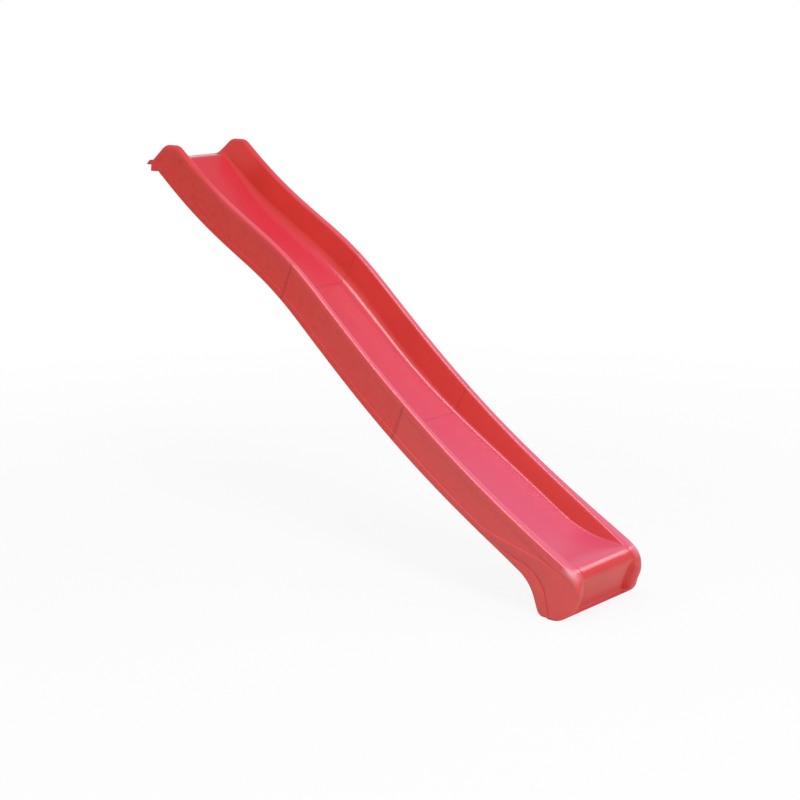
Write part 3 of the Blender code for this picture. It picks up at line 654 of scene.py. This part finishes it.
# %% Measures and masks on the slide
# A grain is a noise: its scale, detail and roughness. A mask is a product of rows. A row is a measure alone
# or with a ramp over it: the values where the ramp starts and ends, and its shares there if not 0 and 1.
JOINTS_AT = (0.80, 1.53)
BELOW_FIRST, BELOW_SECOND = [(joint - 0.001, joint + 0.001) for joint in JOINTS_AT]
RIM_MIDDLE, CORNER_MIDDLE, STRIP_EDGE = -0.004, 0.010, STRIP_HEIGHT + 0.0015
HAIRS, HAIR_STRETCH, SHADOW_UNEVEN = (1.0, 4.0, 0.7), (1.6, 240.0, 1.0), 0.004
SCRATCH_WEAR, RUB_WEAR = 0.16, 0.10
CROWN_PALES, CROWN_STEP = (0.20, 0.40, 0.05, 0.40), (*BELOW_FIRST, 0.0, 0.22)
GRAINS = {
    "mottle": (5.0, 3.0, 0.6),
    "pebble": (520.0, 2.0),
    "swell": (34.0, 2.0),
    "patches": (14.0, 4.0, 0.6),
    "specks": (48.0, 4.0, 0.7),
    "rubs": (26.0, 4.0, 0.65),
}
MASKS = {
    "outside": [("from rim", 0.018, 0.040)],
    "on rim": [("off rim", 0.030, 0.012)],
    "on bed": [("from middle", 0.165, 0.110), ("from rim", 0.0, -0.03)],
    "on end": [("along", 2.43, 2.45), ("from middle", 0.175, 0.160)],
    "off end": [("on end", 1.0, 0.0)],
    "on bend": [("along", 2.40, 2.44), ("along", 2.485, 2.45)],
    "scratched": [("hairs", 0.60, 0.74), "on bed"],
    "rubbed": [("rubs", 0.52, 0.72), "on rim"],
}


def mask(spot, rows):
    shares = [spot[row] if isinstance(row, str) else ramp(spot[row[0]], *row[1:]) for row in rows]
    return reduce(times, shares)


def measures(tree):
    """All that the coats ask of a point: its distances, which way it faces, its grain and the masks."""
    where = tree.nodes.new("ShaderNodeTexCoord").outputs
    along, from_rim, _ = parted(where["UV"])
    _, across, height = parted(where["Object"])
    above = less(height, GROUND)
    flat = add_node(tree, "ShaderNodeCombineXYZ", {"X": along, "Y": across}).outputs[0]
    drawn_out = add_node(tree, "ShaderNodeMapping", {"Vector": flat, "Scale": HAIR_STRETCH}).outputs[0]
    spot = {name: noise(where["Object"], *grain) for name, grain in GRAINS.items()}
    spot |= {
        "along": along,
        "above": above,
        "from rim": from_rim,
        "upward": parted(tree.nodes.new("ShaderNodeNewGeometry").outputs["Normal"])["Z"],
        "hairs": noise(drawn_out, *HAIRS),
        "from middle": away_from(across, 0.0),
        "off rim": away_from(from_rim, RIM_MIDDLE),
        "off corner": away_from(from_rim, CORNER_MIDDLE),
        "off strip edge": away_from(above, STRIP_EDGE),
        "off joints": reckoned("MINIMUM", *[away_from(along, joint) for joint in JOINTS_AT]),
        # The height for the painted shadow at the sole, made a little uneven.
        "painted shadow height": plus(above, times(spot["pebble"], SHADOW_UNEVEN)),
    }
    for name, rows in MASKS.items():
        spot[name] = mask(spot, rows)
    spot["inside"] = less(spot["off end"], spot["outside"])
    spot["crown share"] = plus(ramp(along, *CROWN_PALES), ramp(along, *CROWN_STEP))
    spot["wear"] = plus(times(spot["scratched"], SCRATCH_WEAR), times(spot["rubbed"], RUB_WEAR))
    return spot


print(f"{len(GRAINS)} grains and {len(MASKS)} masks")


# %% Build the red plastic from its coats
RED_DEEP, RED_FULL = (0.620, 0.046, 0.036, 1.0), (0.690, 0.054, 0.044, 1.0)
# The pale pink below is for painted highlights, and the darkest red for painted shade in the seams.
RED_PALE, RED_PAINTED_HIGHLIGHT = (0.690, 0.085, 0.080), (0.880, 0.400, 0.460)
RED_PINK, RED_SEAM_SHADE = (0.740, 0.090, 0.172), (0.300, 0.016, 0.014)
STRIP_BAND = (STRIP_HEIGHT + 0.001, STRIP_HEIGHT - 0.002)
COATS = {
    "dull outer walls": ((0.670, 0.034, 0.022), "outside", ("patches", 0.25, 0.75, 0.45, 0.95)),
    "darker specks": ((0.500, 0.018, 0.012), "outside", ("specks", 0.50, 0.66, 0.0, 0.45)),
    # Painted sheen: surfaces that face up get a pinker red, in place of the sky's reflection.
    "painted sheen on the tops": ((0.750, 0.038, 0.076), ("upward", 0.40, 0.95, 0.0, 0.85)),
    "paler downhill": (RED_PALE, ("along", 0.40, 2.40, 0.0, 0.60), "off end"),
    # Partly wear where bodies slide and partly painted sheen, as its mask follows the surfaces that face up.
    "pinker bed": (RED_PINK, ("upward", 0.40, 0.70), ("along", 0.45, 2.00, 0.0, 0.95), "inside"),
    # Painted sheen: the crown of the rim is a pale pink where it faces up.
    "painted sheen on the crown": ((0.780, 0.160, 0.230), "on rim", ("upward", 0.35, 0.75), "crown share"),
    # Painted highlight: a pale pink spot on each knuckle where the rim bends down.
    "painted highlight on the knuckles": (RED_PAINTED_HIGHLIGHT, ("off corner", 0.024, 0.004, 0.0, 0.65), "on bend"),
    "scratches and rubs": ((0.740, 0.075, 0.075), "wear"),
    "paler lower wall": (RED_PALE, "outside", ("along", *BELOW_SECOND, 0.0, 0.30)),
    # Painted shade: a dark line along each joint, like the shade a groove would cast there.
    "painted shade in the seams": (RED_SEAM_SHADE, ("off joints", 0.010, 0.002), ("from rim", 0.010, 0.030, 0.09, 0.34)),
    # Painted shade: the end face turns a deeper red towards the ground.
    "painted shade low on the end": ((0.660, 0.016, 0.010), "on end", ("above", 0.075, 0.035, 0.0, 0.80)),
    # Painted light: the strip under the end face is a brighter red, as if lit from above.
    "painted light on the strip": ((0.860, 0.045, 0.075), "on end", ("above", *STRIP_BAND, 0.0, 0.80)),
    # Painted highlight: a thin pale line along the top edge of the strip.
    "painted highlight on the strip edge": (RED_PAINTED_HIGHLIGHT, "on end", ("off strip edge", 0.004, 0.001, 0.0, 0.25)),
    # Painted shadow: a dark band along the ground under the sole.
    "painted shadow at the sole": ((0.060, 0.022, 0.016), ("painted shadow height", 0.009, 0.004, 0.0, 0.75)),
}
MOTTLE_SHARE, MOTTLE_DULL, WEAR_DULL, OUTSIDE_DULL = (0.30, 0.70), (0.25, 0.75, 0.18, 0.24), 0.35, 0.18
PEBBLE_RELIEF, RELIEF = 0.35, (0.06, 0.0010)
PLASTIC_IOR, PLASTIC_SHINE = 1.52, 0.50


def red_plastic():
    material, tree, shader = new_finish("red moulded polyethylene")
    spot = measures(tree)
    colour = mixed(ramp(spot["mottle"], *MOTTLE_SHARE), RED_DEEP, RED_FULL)
    for red, *rows in COATS.values():
        colour = mixed(mask(spot, rows), colour, (*red, 1.0))
    dull = plus(ramp(spot["mottle"], *MOTTLE_DULL), times(spot["wear"], WEAR_DULL))
    dull = plus(dull, times(spot["outside"], OUTSIDE_DULL))
    relief = plus(times(spot["pebble"], PEBBLE_RELIEF), spot["swell"])
    wire(shader, {"Base Color": colour, "Roughness": dull, "Normal": bumped(relief, *RELIEF)})
    wire(shader, {"IOR": PLASTIC_IOR, "Specular IOR Level": PLASTIC_SHINE})
    return material


RED = red_plastic()
print(f"red plastic with {len(RED.node_tree.nodes)} nodes")

# %% [markdown]
# ## The three hollow sections
#
# Each section is a chain of rings: down the outside, round the joint face, and back up the inside.
# The lower two carry a thin spigot that slides into the section above, so only a hairline shows outside.
# A Solidify modifier could give the wall, but it can't make a spigot with its own fit,
# so the inside is drawn by the same rule with the corners moved into the wall.

# %% Spacing of the rings
SKIN, FIT_GAP = 0.003, 0.0004
NECK_LENGTH, NECK_ROOT = 0.070, 0.012
CLOSE, FINE, WIDE, COARSE = 0.006, 0.010, 0.030, 0.065
BODY_EDGE, ENTRY_END, RUN_OUT_START = 0.026, 0.16, 2.0
HOLLOW_START, HOLLOW_END = -0.06, RIM_LENGTH - 0.065
BODY_START = (BODY_EDGE - HUMP_TOP[0]) / math.cos(float(slope_at(0.0)))
ARC_PARTS, LEAST_PITCH, SHY, PILLAR_SHY = 12, 0.0002, 0.0001, 0.001


def spread(first, *runs):
    """Places from the first on, in runs that each have an end and a pitch."""
    places = [first]
    for last, pitch in runs:
        count = max(1, round((last - places[-1]) / pitch)) + 1
        places += np.linspace(places[-1], last, count).tolist()[1:]
    return places


def behind_front(distances):
    """Distances along the rim of rings this far behind the front plane, down to the nearest."""
    behind = sorted({round(d, 5) for d in distances}, reverse=True)
    kept = [behind[0]] + [b for a, b in zip(behind, behind[1:]) if a - b > LEAST_PITCH]
    scale = math.cos(float(slope_at(RIM_LENGTH)) - RAKE)
    return [RIM_LENGTH - b / scale for b in kept]


ARC = [1.0 - math.cos(math.pi / 2 * k / ARC_PARTS) for k in range(ARC_PARTS + 1)]


def nose_places():
    """Close rings over the rolled edge of the run-out and the end face, as far as the strip under it."""
    behind = [SIDE_DEPTH * a for a in ARC if SIDE_DEPTH * a > END_RECESS]
    behind += [END_RECESS + END_EDGE * a for a in ARC]
    behind += [END_RECESS - END_LEAN * a for a in ARC[1::3]]
    behind += [STRIP_FRONT + STRIP_ROUND * a for a in ARC[::3]]
    return behind_front([b for b in behind if b >= STRIP_FRONT + SHY] + [STRIP_FRONT + SHY])


def pillar_places():
    """Rings that round the front of the two pillars beside the end face."""
    behind = [SIDE_DEPTH * a for a in ARC]
    return behind_front([b for b in behind if 0.0 < b < STRIP_FRONT - PILLAR_SHY] + [2 * SHY])


def spigot(joint):
    root, tip = joint + FIT_GAP / 2, joint - NECK_LENGTH
    outside = [ring(s, SKIN + FIT_GAP) for s in (root, tip)]
    return outside + [ring(s, 2 * SKIN + FIT_GAP) for s in (tip, root)]


def hollow(places):
    return [ring(s, SKIN) for s in places]


print(f"{len(nose_places())} rings over the nose, {len(pillar_places())} round each pillar")


# %% Sew the two pillars onto the front of the lower section
PILLAR_WELD = 2e-5


def with_pillars(body, last):
    """The body with its two pillars sewn on, and the flat faces left open at the front filled."""
    middle = len(last[0]) // 2
    shape = bmesh.new()
    shape.from_mesh(body.data)
    for side in (1, -1):
        picked = [side * k for k in range(WALL_FOOT, middle)]
        first = tuple(column[picked] for column in last)
        loops = [first] + [pillar_ring(s, side) for s in pillar_places()]
        pillar = skin("pillar", loops, RED)
        shape.from_mesh(pillar.data)
        bpy.data.objects.remove(pillar, do_unlink=True)
    bmesh.ops.remove_doubles(shape, verts=shape.verts, dist=PILLAR_WELD)
    open_edges = [edge for edge in shape.edges if edge.is_boundary]
    filled = bmesh.ops.holes_fill(shape, edges=open_edges, sides=0)["faces"]
    unrolled = shape.loops.layers.uv["UVMap"]
    for face in filled:
        face.smooth = True
        for corner in face.loops:
            beside = [other for other in corner.vert.link_loops if other.face not in filled]
            corner[unrolled].uv = beside[0][unrolled].uv
    bmesh.ops.recalc_face_normals(shape, faces=shape.faces)
    still_open = sum(not edge.is_manifold for edge in shape.edges)
    print(f"front closed with {len(filled)} faces, {still_open} open edges left")
    shape.to_mesh(body.data)
    shape.free()
    return body


# %% Skin the three sections
def upper_skin():
    neck, end = JOINTS_AT[0] - NECK_LENGTH, [JOINTS_AT[0] - FIT_GAP / 2]
    outside = [ring(s) for s in spread(BODY_START, (ENTRY_END, CLOSE), (neck, FINE)) + end]
    inside = hollow(spread(HOLLOW_START, (neck, COARSE)) + end)
    return skin("upper_skin", [lid(outside[0])] + outside + inside[::-1] + [lid(inside[0])], RED)


def middle_skin():
    start, neck, end = JOINTS_AT[0] + FIT_GAP / 2, JOINTS_AT[1] - NECK_LENGTH, [JOINTS_AT[1] - FIT_GAP / 2]
    outside = [ring(s) for s in spread(start, (neck, FINE)) + end]
    inside = hollow(spread(start + NECK_ROOT, (neck, COARSE)) + end)
    rings = outside[::-1] + spigot(JOINTS_AT[0]) + inside
    return skin("middle_skin", rings + [rings[0]], RED)


def lower_skin():
    start, nose = JOINTS_AT[1] + FIT_GAP / 2, nose_places()
    outside = [ring(s) for s in spread(start, (RUN_OUT_START, FINE), (nose[0], CLOSE)) + nose[1:]]
    inside = hollow(spread(start + NECK_ROOT, (RUN_OUT_START, COARSE), (HOLLOW_END, WIDE)))
    rings = outside[::-1] + spigot(JOINTS_AT[1]) + inside
    body = skin("lower_skin", rings + [lid(rings[-1])], RED)
    return with_pillars(body, outside[-1])


upper, middle, lower = upper_skin(), middle_skin(), lower_skin()
for piece in (upper, middle, lower):
    print(f"{piece.name}: {len(piece.data.polygons)} faces")

# %% [markdown]
# ## Deck flange and stop lip
#
# At the top a flat flange lies on the deck, and a lip under it stops against the deck's edge.
# Both are straight bars across the slide, so each is its side outline pushed out across, with a small bevel
# on the edges. An exact Boolean then makes them one moulding with the upper section.


# %% Make a bar across the slide from its side outline
OUTSIDE_GIRTH, BEVEL_PARTS = 0.4, 3


def solid(name, points, faces):
    """An object whose faces all look outward."""
    mesh = bpy.data.meshes.new(name)
    mesh.from_pydata(points, [], faces)
    shape = bmesh.new()
    shape.from_mesh(mesh)
    bmesh.ops.recalc_face_normals(shape, faces=shape.faces)
    shape.to_mesh(mesh)
    shape.free()
    return placed(name, mesh)


def crossbar(name, outline, width, edge):
    """A bar with rounded edges. Its UV map says that it lies outside, far from the rim."""
    count = len(outline)
    points = [(x, y, z) for y in (-width / 2, width / 2) for x, z in outline]
    faces = [tuple(range(count)), tuple(range(2 * count - 1, count - 1, -1))]
    faces += [(k, k + count, (k + 1) % count + count, (k + 1) % count) for k in range(count)]
    bar = solid(name, points, faces)
    unrolled = bar.data.uv_layers.new(name="UVMap").data
    for corner in bar.data.loops:
        x, y, _ = bar.data.vertices[corner.vertex_index].co
        unrolled[corner.index].uv = (x, OUTSIDE_GIRTH + y)
    bar.data.materials.append(RED)
    bevel = bar.modifiers.new("edge", "BEVEL")
    bevel.width, bevel.segments, bevel.limit_method = edge, BEVEL_PARTS, "ANGLE"
    return frozen(bar, name)


def worked(base, tools, operation):
    """The base with the tools added or cut away. The tools are removed."""
    for tool in tools:
        change = base.modifiers.new(tool.name, "BOOLEAN")
        change.operation, change.solver, change.object = operation, "EXACT", tool
    made = frozen(base, base.name)
    for tool in tools:
        bpy.data.objects.remove(tool, do_unlink=True)
    return made


# %% Add the flange and the lip to the upper section
FLANGE_TIP, FLANGE_ROOT, FLANGE_WIDTH, FLANGE_EDGE = -0.018, 0.044, 0.372, 0.0014
FLANGE_TOP, FLANGE_BEVEL, BEVEL_LOW, BEVEL_TOP = 0.020, 0.017, 0.003, 0.019
LIP_BACK, LIP_FRONT, LIP_TOP, LIP_SOLE, LIP_EDGE = 0.018, 0.043, -0.006, LIP_LOW + 0.001, 0.0040
flange_outline = [(FLANGE_TIP, 0.0), (FLANGE_TIP, BEVEL_LOW), (FLANGE_TIP + FLANGE_BEVEL, BEVEL_TOP)]
flange_outline += [(FLANGE_ROOT, FLANGE_TOP), (FLANGE_ROOT, 0.0)]
lip_outline = [(LIP_BACK, LIP_SOLE), (LIP_BACK, LIP_TOP), (LIP_FRONT, LIP_TOP), (LIP_FRONT, LIP_SOLE)]
flange = crossbar("deck_flange", flange_outline, FLANGE_WIDTH, FLANGE_EDGE)
lip = crossbar("stop_lip", lip_outline, FLANGE_WIDTH, LIP_EDGE)
upper = worked(upper, [flange, lip], "UNION")
print(f"upper section with flange and lip: {len(upper.data.polygons)} faces")

# %% [markdown]
# ## Bolts, washers and nuts
#
# Four bolts hold each joint from below. Their heads sit on washers under the lapped skins,
# and captive nuts wait inside the spigot. One bolt is turned from a few outlines, with the small chamfer
# that a pressed hexagon head has, and a node tree sets copies of it on every seat of both joints.
# Copies by hand would also do, but seats worked out from the guide lines follow any change of the wave.

# %% Sizes and seats
BOLTS, BOLT_SPACING, BOLT_RADIUS = 4, 0.075, 0.003
HEAD_FLATS, HEAD_HEIGHT, NUT_HEIGHT, BOLT_TIP = 0.010, 0.004, 0.005, 0.001
HEAD_DISH, DISH_EDGE, FACE = HEAD_FLATS * 0.30, HEAD_FLATS * 0.34, HEAD_FLATS * 0.47
DISH_DEPTH = 0.0004
CHAMFER_FROM, CHAMFER_SLOPE, TIP_CHAMFER = 0.485, 0.55, 0.0006
WASHER_RADIUS, WASHER_THICK, WASHER_EDGE = 0.009, 0.0016, 0.0003
SEAT_GAP, THREAD_GAP, HOLE_GAP = 0.0003, 0.0003, 0.0004
SIDES = 24


def bolt_seats(joint):
    """Places of a joint's bolts, the way out of the underside, and the depth of the lapped skins."""
    ends = []
    for along in (joint - NECK_LENGTH, joint):
        start, down = section_frame(along)
        ends.append(start + down * reach(UNDERSIDE, start, down))
    flow = (ends[1] - ends[0]) / np.linalg.norm(ends[1] - ends[0])
    outward = np.array([flow[1], -flow[0]])
    middle = (ends[0] + ends[1]) / 2
    across = (np.arange(BOLTS) - (BOLTS - 1) / 2) * BOLT_SPACING
    places = [(middle[0], y, middle[1]) for y in across]
    return places, outward, (2 * SKIN + FIT_GAP) * float(outward @ down)


SEATS = [bolt_seats(joint) for joint in JOINTS_AT]
print(f"{sum(len(s[0]) for s in SEATS)} bolt seats, lapped skins {SEATS[0][2] * 1000:.2f} mm deep")


# %% Outlines, and how a row of them becomes a solid
TURNS = 2 * math.pi * np.arange(SIDES) / SIDES


def circle(radius):
    return np.stack([np.cos(TURNS), np.sin(TURNS)], 1) * radius


def hexagon(flats):
    from_flat = (TURNS + math.pi / 6) % (math.pi / 3) - math.pi / 6
    return circle(1.0) * (flats / 2 / np.cos(from_flat))[:, None]


def chamfer(flats, height, towards):
    """A hexagon whose corners fall away from a height, as a turned chamfer leaves them."""
    outline = hexagon(flats)
    fall = (np.linalg.norm(outline, axis=1) - flats * CHAMFER_FROM) * CHAMFER_SLOPE
    return np.column_stack([outline, height - towards * np.maximum(fall, 0.0)])


def level(outline, height):
    return np.column_stack([outline, np.full(len(outline), height)])


def stacked(turns):
    return [level(circle(radius), height) for radius, height in turns]


def turned(name, layers, closed):
    """A solid through outlines of equal count: a ring, or with flat ends."""
    count = len(layers[0])
    points = np.vstack(layers).tolist()
    last = len(layers) if closed else len(layers) - 1
    faces = []
    for i in range(last):
        low, high = i * count, (i + 1) % len(layers) * count
        faces += [(low + k, low + (k + 1) % count, high + (k + 1) % count, high + k) for k in range(count)]
    if not closed:
        faces += [tuple(range(count)), tuple(range(last * count, (last + 1) * count))]
    return solid(name, points, faces)


print(f"{SIDES} points round each outline")


# %% One bolt, one washer and one nut
def one_bolt(stack):
    seat = 2 * SEAT_GAP + WASHER_THICK
    top = seat + HEAD_HEIGHT
    tip = -stack - SEAT_GAP - NUT_HEIGHT - BOLT_TIP
    dish = stacked([(HEAD_DISH, top - DISH_DEPTH), (DISH_EDGE, top), (FACE, top)])
    head = [chamfer(HEAD_FLATS, top, 1.0), level(hexagon(HEAD_FLATS), seat)]
    shank = ((BOLT_RADIUS, seat), (BOLT_RADIUS, tip + TIP_CHAMFER), (BOLT_RADIUS - TIP_CHAMFER, tip))
    return turned("bolt_shape", dish + head + stacked(shank), closed=False)


def one_washer():
    low, high, edge = SEAT_GAP, SEAT_GAP + WASHER_THICK, WASHER_EDGE
    bore, inner, rim = BOLT_RADIUS + THREAD_GAP, WASHER_RADIUS - edge, WASHER_RADIUS
    turns = ((bore, low), (inner, low), (rim, low + edge), (rim, high - edge), (inner, high), (bore, high))
    return turned("washer_shape", stacked(turns), closed=True)


def one_nut(stack):
    high = -stack - SEAT_GAP
    low = high - NUT_HEIGHT
    bore = BOLT_RADIUS + THREAD_GAP
    hexagons = [chamfer(HEAD_FLATS, low, -1.0), chamfer(HEAD_FLATS, high, 1.0)]
    layers = stacked([(bore, low), (FACE, low)]) + hexagons + stacked([(FACE, high), (bore, high)])
    return turned("nut_shape", layers, closed=True)


# %% A node tree that sets copies of a shape on seats
SHARP_STEEL = math.radians(30.0)


def seat_tree():
    inputs = {"Seats": "Geometry", "Shape": "Object", "Finish": "Material"}
    tree, given = new_tree("shapes on seats", inputs, "Set")
    shape = add_node(tree, "GeometryNodeObjectInfo", {"Object": given["Shape"]}).outputs["Geometry"]
    lean = add_node(tree, "ShaderNodeCombineXYZ", {"Y": named_value(tree, "lean")}).outputs[0]
    inputs = {"Points": given["Seats"], "Instance": shape, "Rotation": lean}
    in_turn(
        tree,
        add_node(tree, "GeometryNodeInstanceOnPoints", inputs),
        add_node(tree, "GeometryNodeRealizeInstances"),
        add_node(tree, "GeometryNodeSetMaterial", {"Material": given["Finish"]}),
    )
    return tree


SEAT_TREE = seat_tree()


def lean_of(outward):
    return math.atan2(outward[0], outward[1])


def on_seats(name, shape, finish):
    """One plain mesh with a copy of the shape on every seat of both joints."""
    points = [place for places, _, _ in SEATS for place in places]
    leans = [lean_of(outward) for places, outward, _ in SEATS for _ in places]
    made = through_tree(SEAT_TREE, name, points, {"lean": leans}, {"Shape": shape, "Finish": finish})
    bpy.data.objects.remove(shape, do_unlink=True)
    made.data.shade_smooth()
    made.data.set_sharp_from_angle(angle=SHARP_STEEL)
    return made


print(f"seat tree with {len(SEAT_TREE.nodes)} nodes")

# %% [markdown]
# ## Zinc-plated steel
#
# Plating has a soft, slightly blue grey with small crystals in it, and dulls in patches out of doors.
# A cell texture gives the crystals, a slow noise the dull patches.


# %% Build the zinc finish
ZINC_DARK, ZINC_LIGHT, ZINC_DULL = (0.52, 0.54, 0.57, 1.0), (0.64, 0.65, 0.67, 1.0), (0.42, 0.42, 0.42, 1.0)
CRYSTALS, DULL_PATCHES, DULL_SHARE = 900.0, (160.0, 3.0, 0.6), (0.45, 0.75, 0.0, 0.7)
ZINC_ROUGH, ZINC_RELIEF = (0.30, 0.75, 0.26, 0.52), (0.10, 0.0002)


def zinc_steel():
    material, tree, shader = new_finish("zinc plated steel")
    place = tree.nodes.new("ShaderNodeTexCoord").outputs["Object"]
    crystal = add_node(tree, "ShaderNodeTexVoronoi", {"Vector": place, "Scale": CRYSTALS}).outputs["Color"]
    crystal = add_node(tree, "ShaderNodeSeparateColor", {"Color": crystal}).outputs[0]
    patches = noise(place, *DULL_PATCHES)
    colour = mixed(ramp(patches, *DULL_SHARE), mixed(crystal, ZINC_DARK, ZINC_LIGHT), ZINC_DULL)
    wire(shader, {"Base Color": colour, "Roughness": ramp(patches, *ZINC_ROUGH), "Metallic": 1.0})
    wire(shader, {"Normal": bumped(patches, *ZINC_RELIEF)})
    return material


ZINC = zinc_steel()
print(f"zinc with {len(ZINC.node_tree.nodes)} nodes")


# %% Drill the lapped skins, then set the fasteners
def drill(joint_number):
    places, outward, stack = SEATS[joint_number]
    lean = Matrix.Rotation(lean_of(outward), 4, "Y")
    drills = []
    for k, place in enumerate(places):
        hole = circle(BOLT_RADIUS + HOLE_GAP)
        ends = [level(hole, -stack - SKIN / 2), level(hole, WASHER_THICK)]
        tool = turned(f"drill_{k}", ends, closed=False)
        tool.data.transform(Matrix.Translation(place) @ lean)
        drills.append(tool)
    return drills


upper = worked(upper, drill(0), "DIFFERENCE")
middle = worked(middle, drill(0) + drill(1), "DIFFERENCE")
lower = worked(lower, drill(1), "DIFFERENCE")
stack = SEATS[0][2]
fasteners = {
    "bolt": on_seats("joint_bolts", one_bolt(stack), ZINC),
    "washer": on_seats("joint_washers", one_washer(), ZINC),
    "nut": on_seats("joint_nuts", one_nut(stack), ZINC),
}
print(f"fasteners: {[len(f.data.polygons) for f in fasteners.values()]} faces")

# %% Let the new pieces stand for their CAD nodes
SHARP_PLASTIC = math.radians(38.0)
for piece, node in ((upper, "upper_section"), (middle, "middle_section"), (lower, "lower_section")):
    piece.data.set_sharp_from_angle(angle=SHARP_PLASTIC)
    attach(piece, "root")
    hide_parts(node)
for kind, piece in fasteners.items():
    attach(piece, "root")
    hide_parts(*[name for name in nodes if f"_{kind}_" in name])
print(f"{3 + len(fasteners)} pieces stand for {len(nodes)} CAD nodes")

# %% [markdown]
# ## Floor, light and camera
#
# A pale floor and an even white surround light the slide softly from all sides.
# The key lamp hangs over the foot and draws the shine along the rims. Two lamps behind the slide
# are mirrored in the bed and in the roll at its end, and one behind the deck is mirrored at the entry.
# The front and right lamps only fill the outer walls and are kept out of the reflections.
# The floor shows almost white to the camera and keeps the shadow under the foot.


# %% White surround
WHITE, SKY = (1.0, 1.0, 1.0, 1.0), (0.97, 0.98, 1.0, 1.0)
SEEN, LIGHT, MIRRORED = 1.0, 0.58, 0.36


def either(share, first, second):
    """The first shader where the share is 0, the second where it is 1."""
    return add_node(share.id_data, "ShaderNodeMixShader", {0: share, 1: first, 2: second}).outputs[0]


def white_surround():
    world = bpy.data.worlds.new("white surround")
    bpy.context.scene.world = world
    world.use_nodes = True
    tree = world.node_tree
    tree.nodes.clear()
    ray = tree.nodes.new("ShaderNodeLightPath").outputs
    seen, light, mirrored = [
        add_node(tree, "ShaderNodeBackground", {"Color": colour, "Strength": strength}).outputs[0]
        for colour, strength in ((WHITE, SEEN), (SKY, LIGHT), (SKY, MIRRORED))
    ]
    lit = either(ray["Is Camera Ray"], either(ray["Is Glossy Ray"], light, mirrored), seen)
    add_node(tree, "ShaderNodeOutputWorld", {"Surface": lit})


white_surround()
print("white surround set")


# %% Floor
FLOOR_HALF, FLOOR_GAP, FLOOR_GREY = 90.0, 0.0005, (0.74, 0.74, 0.74, 1.0)
FLOOR_MIDDLE, FLOOR_GLOW = (-1.2, 0.0, -GROUND), (1.5, 4.5, 0.90, 1.0)


def floor_finish():
    material = bpy.data.materials.new("pale floor")
    material.use_nodes = True
    tree = material.node_tree
    tree.nodes.clear()
    matt = add_node(tree, "ShaderNodeBsdfDiffuse", {"Color": FLOOR_GREY}).outputs[0]
    glow = add_node(tree, "ShaderNodeEmission", {"Color": WHITE, "Strength": 1.0}).outputs[0]
    place = tree.nodes.new("ShaderNodeTexCoord").outputs["Object"]
    place = add_node(tree, "ShaderNodeMapping", {"Vector": place, "Location": FLOOR_MIDDLE}).outputs[0]
    away = add_node(tree, "ShaderNodeVectorMath", {0: place}, operation="LENGTH").outputs["Value"]
    seen = tree.nodes.new("ShaderNodeLightPath").outputs["Is Camera Ray"]
    lit = either(times(seen, ramp(away, *FLOOR_GLOW)), matt, glow)
    add_node(tree, "ShaderNodeOutputMaterial", {"Surface": lit})
    return material


def floor_sheet():
    mesh = bpy.data.meshes.new("floor")
    corners = [(-1, -1), (1, -1), (1, 1), (-1, 1)]
    points = [(x * FLOOR_HALF, y * FLOOR_HALF, GROUND - FLOOR_GAP) for x, y in corners]
    mesh.from_pydata(points, [], [(0, 1, 2, 3)])
    mesh.materials.append(floor_finish())
    floor = placed("floor", mesh)


floor_sheet()
print("floor laid")


# %% Lamps
def lamp(name, place, aim, size, power, colour, mirrored=True):
    data = bpy.data.lights.new(name, "AREA")
    data.shape = "RECTANGLE"
    data.size, data.size_y = size
    data.energy = power
    data.color = colour
    obj = placed(name, data)
    obj.location = place
    obj.rotation_euler = (Vector(aim) - Vector(place)).to_track_quat("-Z", "Y").to_euler()
    obj.visible_glossy = mirrored


MIDDLE, FOOT = (1.0, 0.0, -0.6), (2.0, 0.0, -1.2)
lamp("back lamp", (0.15, 3.9, 1.12), FOOT, (3.2, 2.0), 5.0, (0.80, 0.84, 1.0))
lamp("strip lamp", (3.0, 3.5, 1.37), (2.1, 0.0, -1.28), (1.2, 0.3), 11.0, (0.90, 0.93, 1.0))
lamp("front lamp", (-0.5, -4.6, 2.2), MIDDLE, (3.5, 3.0), 30.0, (1.0, 0.99, 0.97), mirrored=False)
lamp("right lamp", (6.0, -0.5, -0.2), FOOT, (3.0, 2.0), 46.0, (1.0, 0.98, 0.97), mirrored=False)
lamp("key lamp", (2.55, -1.35, 2.8), (2.55, 0.0, -1.1), (2.6, 1.1), 82.0, (1.0, 0.99, 0.98))
lamp("entry lamp", (-3.2, 3.3, 0.5), (0.1, 0.0, 0.0), (3.0, 1.0), 6.0, (1.0, 1.0, 1.0))
print("lamps hung")

# %% Camera at the photograph's angle
CAMERA_FALL, CAMERA_TURN = 12.99, 40.24
lens = bpy.data.cameras.new("camera")
lens.lens, lens.sensor_width = 84.8, 36.0
camera = placed("camera", lens)
camera.location = (5.736, -5.390, 0.789)
camera.rotation_euler = (math.radians(90.0 - CAMERA_FALL), 0.0, math.radians(CAMERA_TURN))
bpy.context.scene.camera = camera
bpy.context.scene.view_settings.view_transform = "Standard"
print(f"camera with a lens of {lens.lens:.1f} mm")
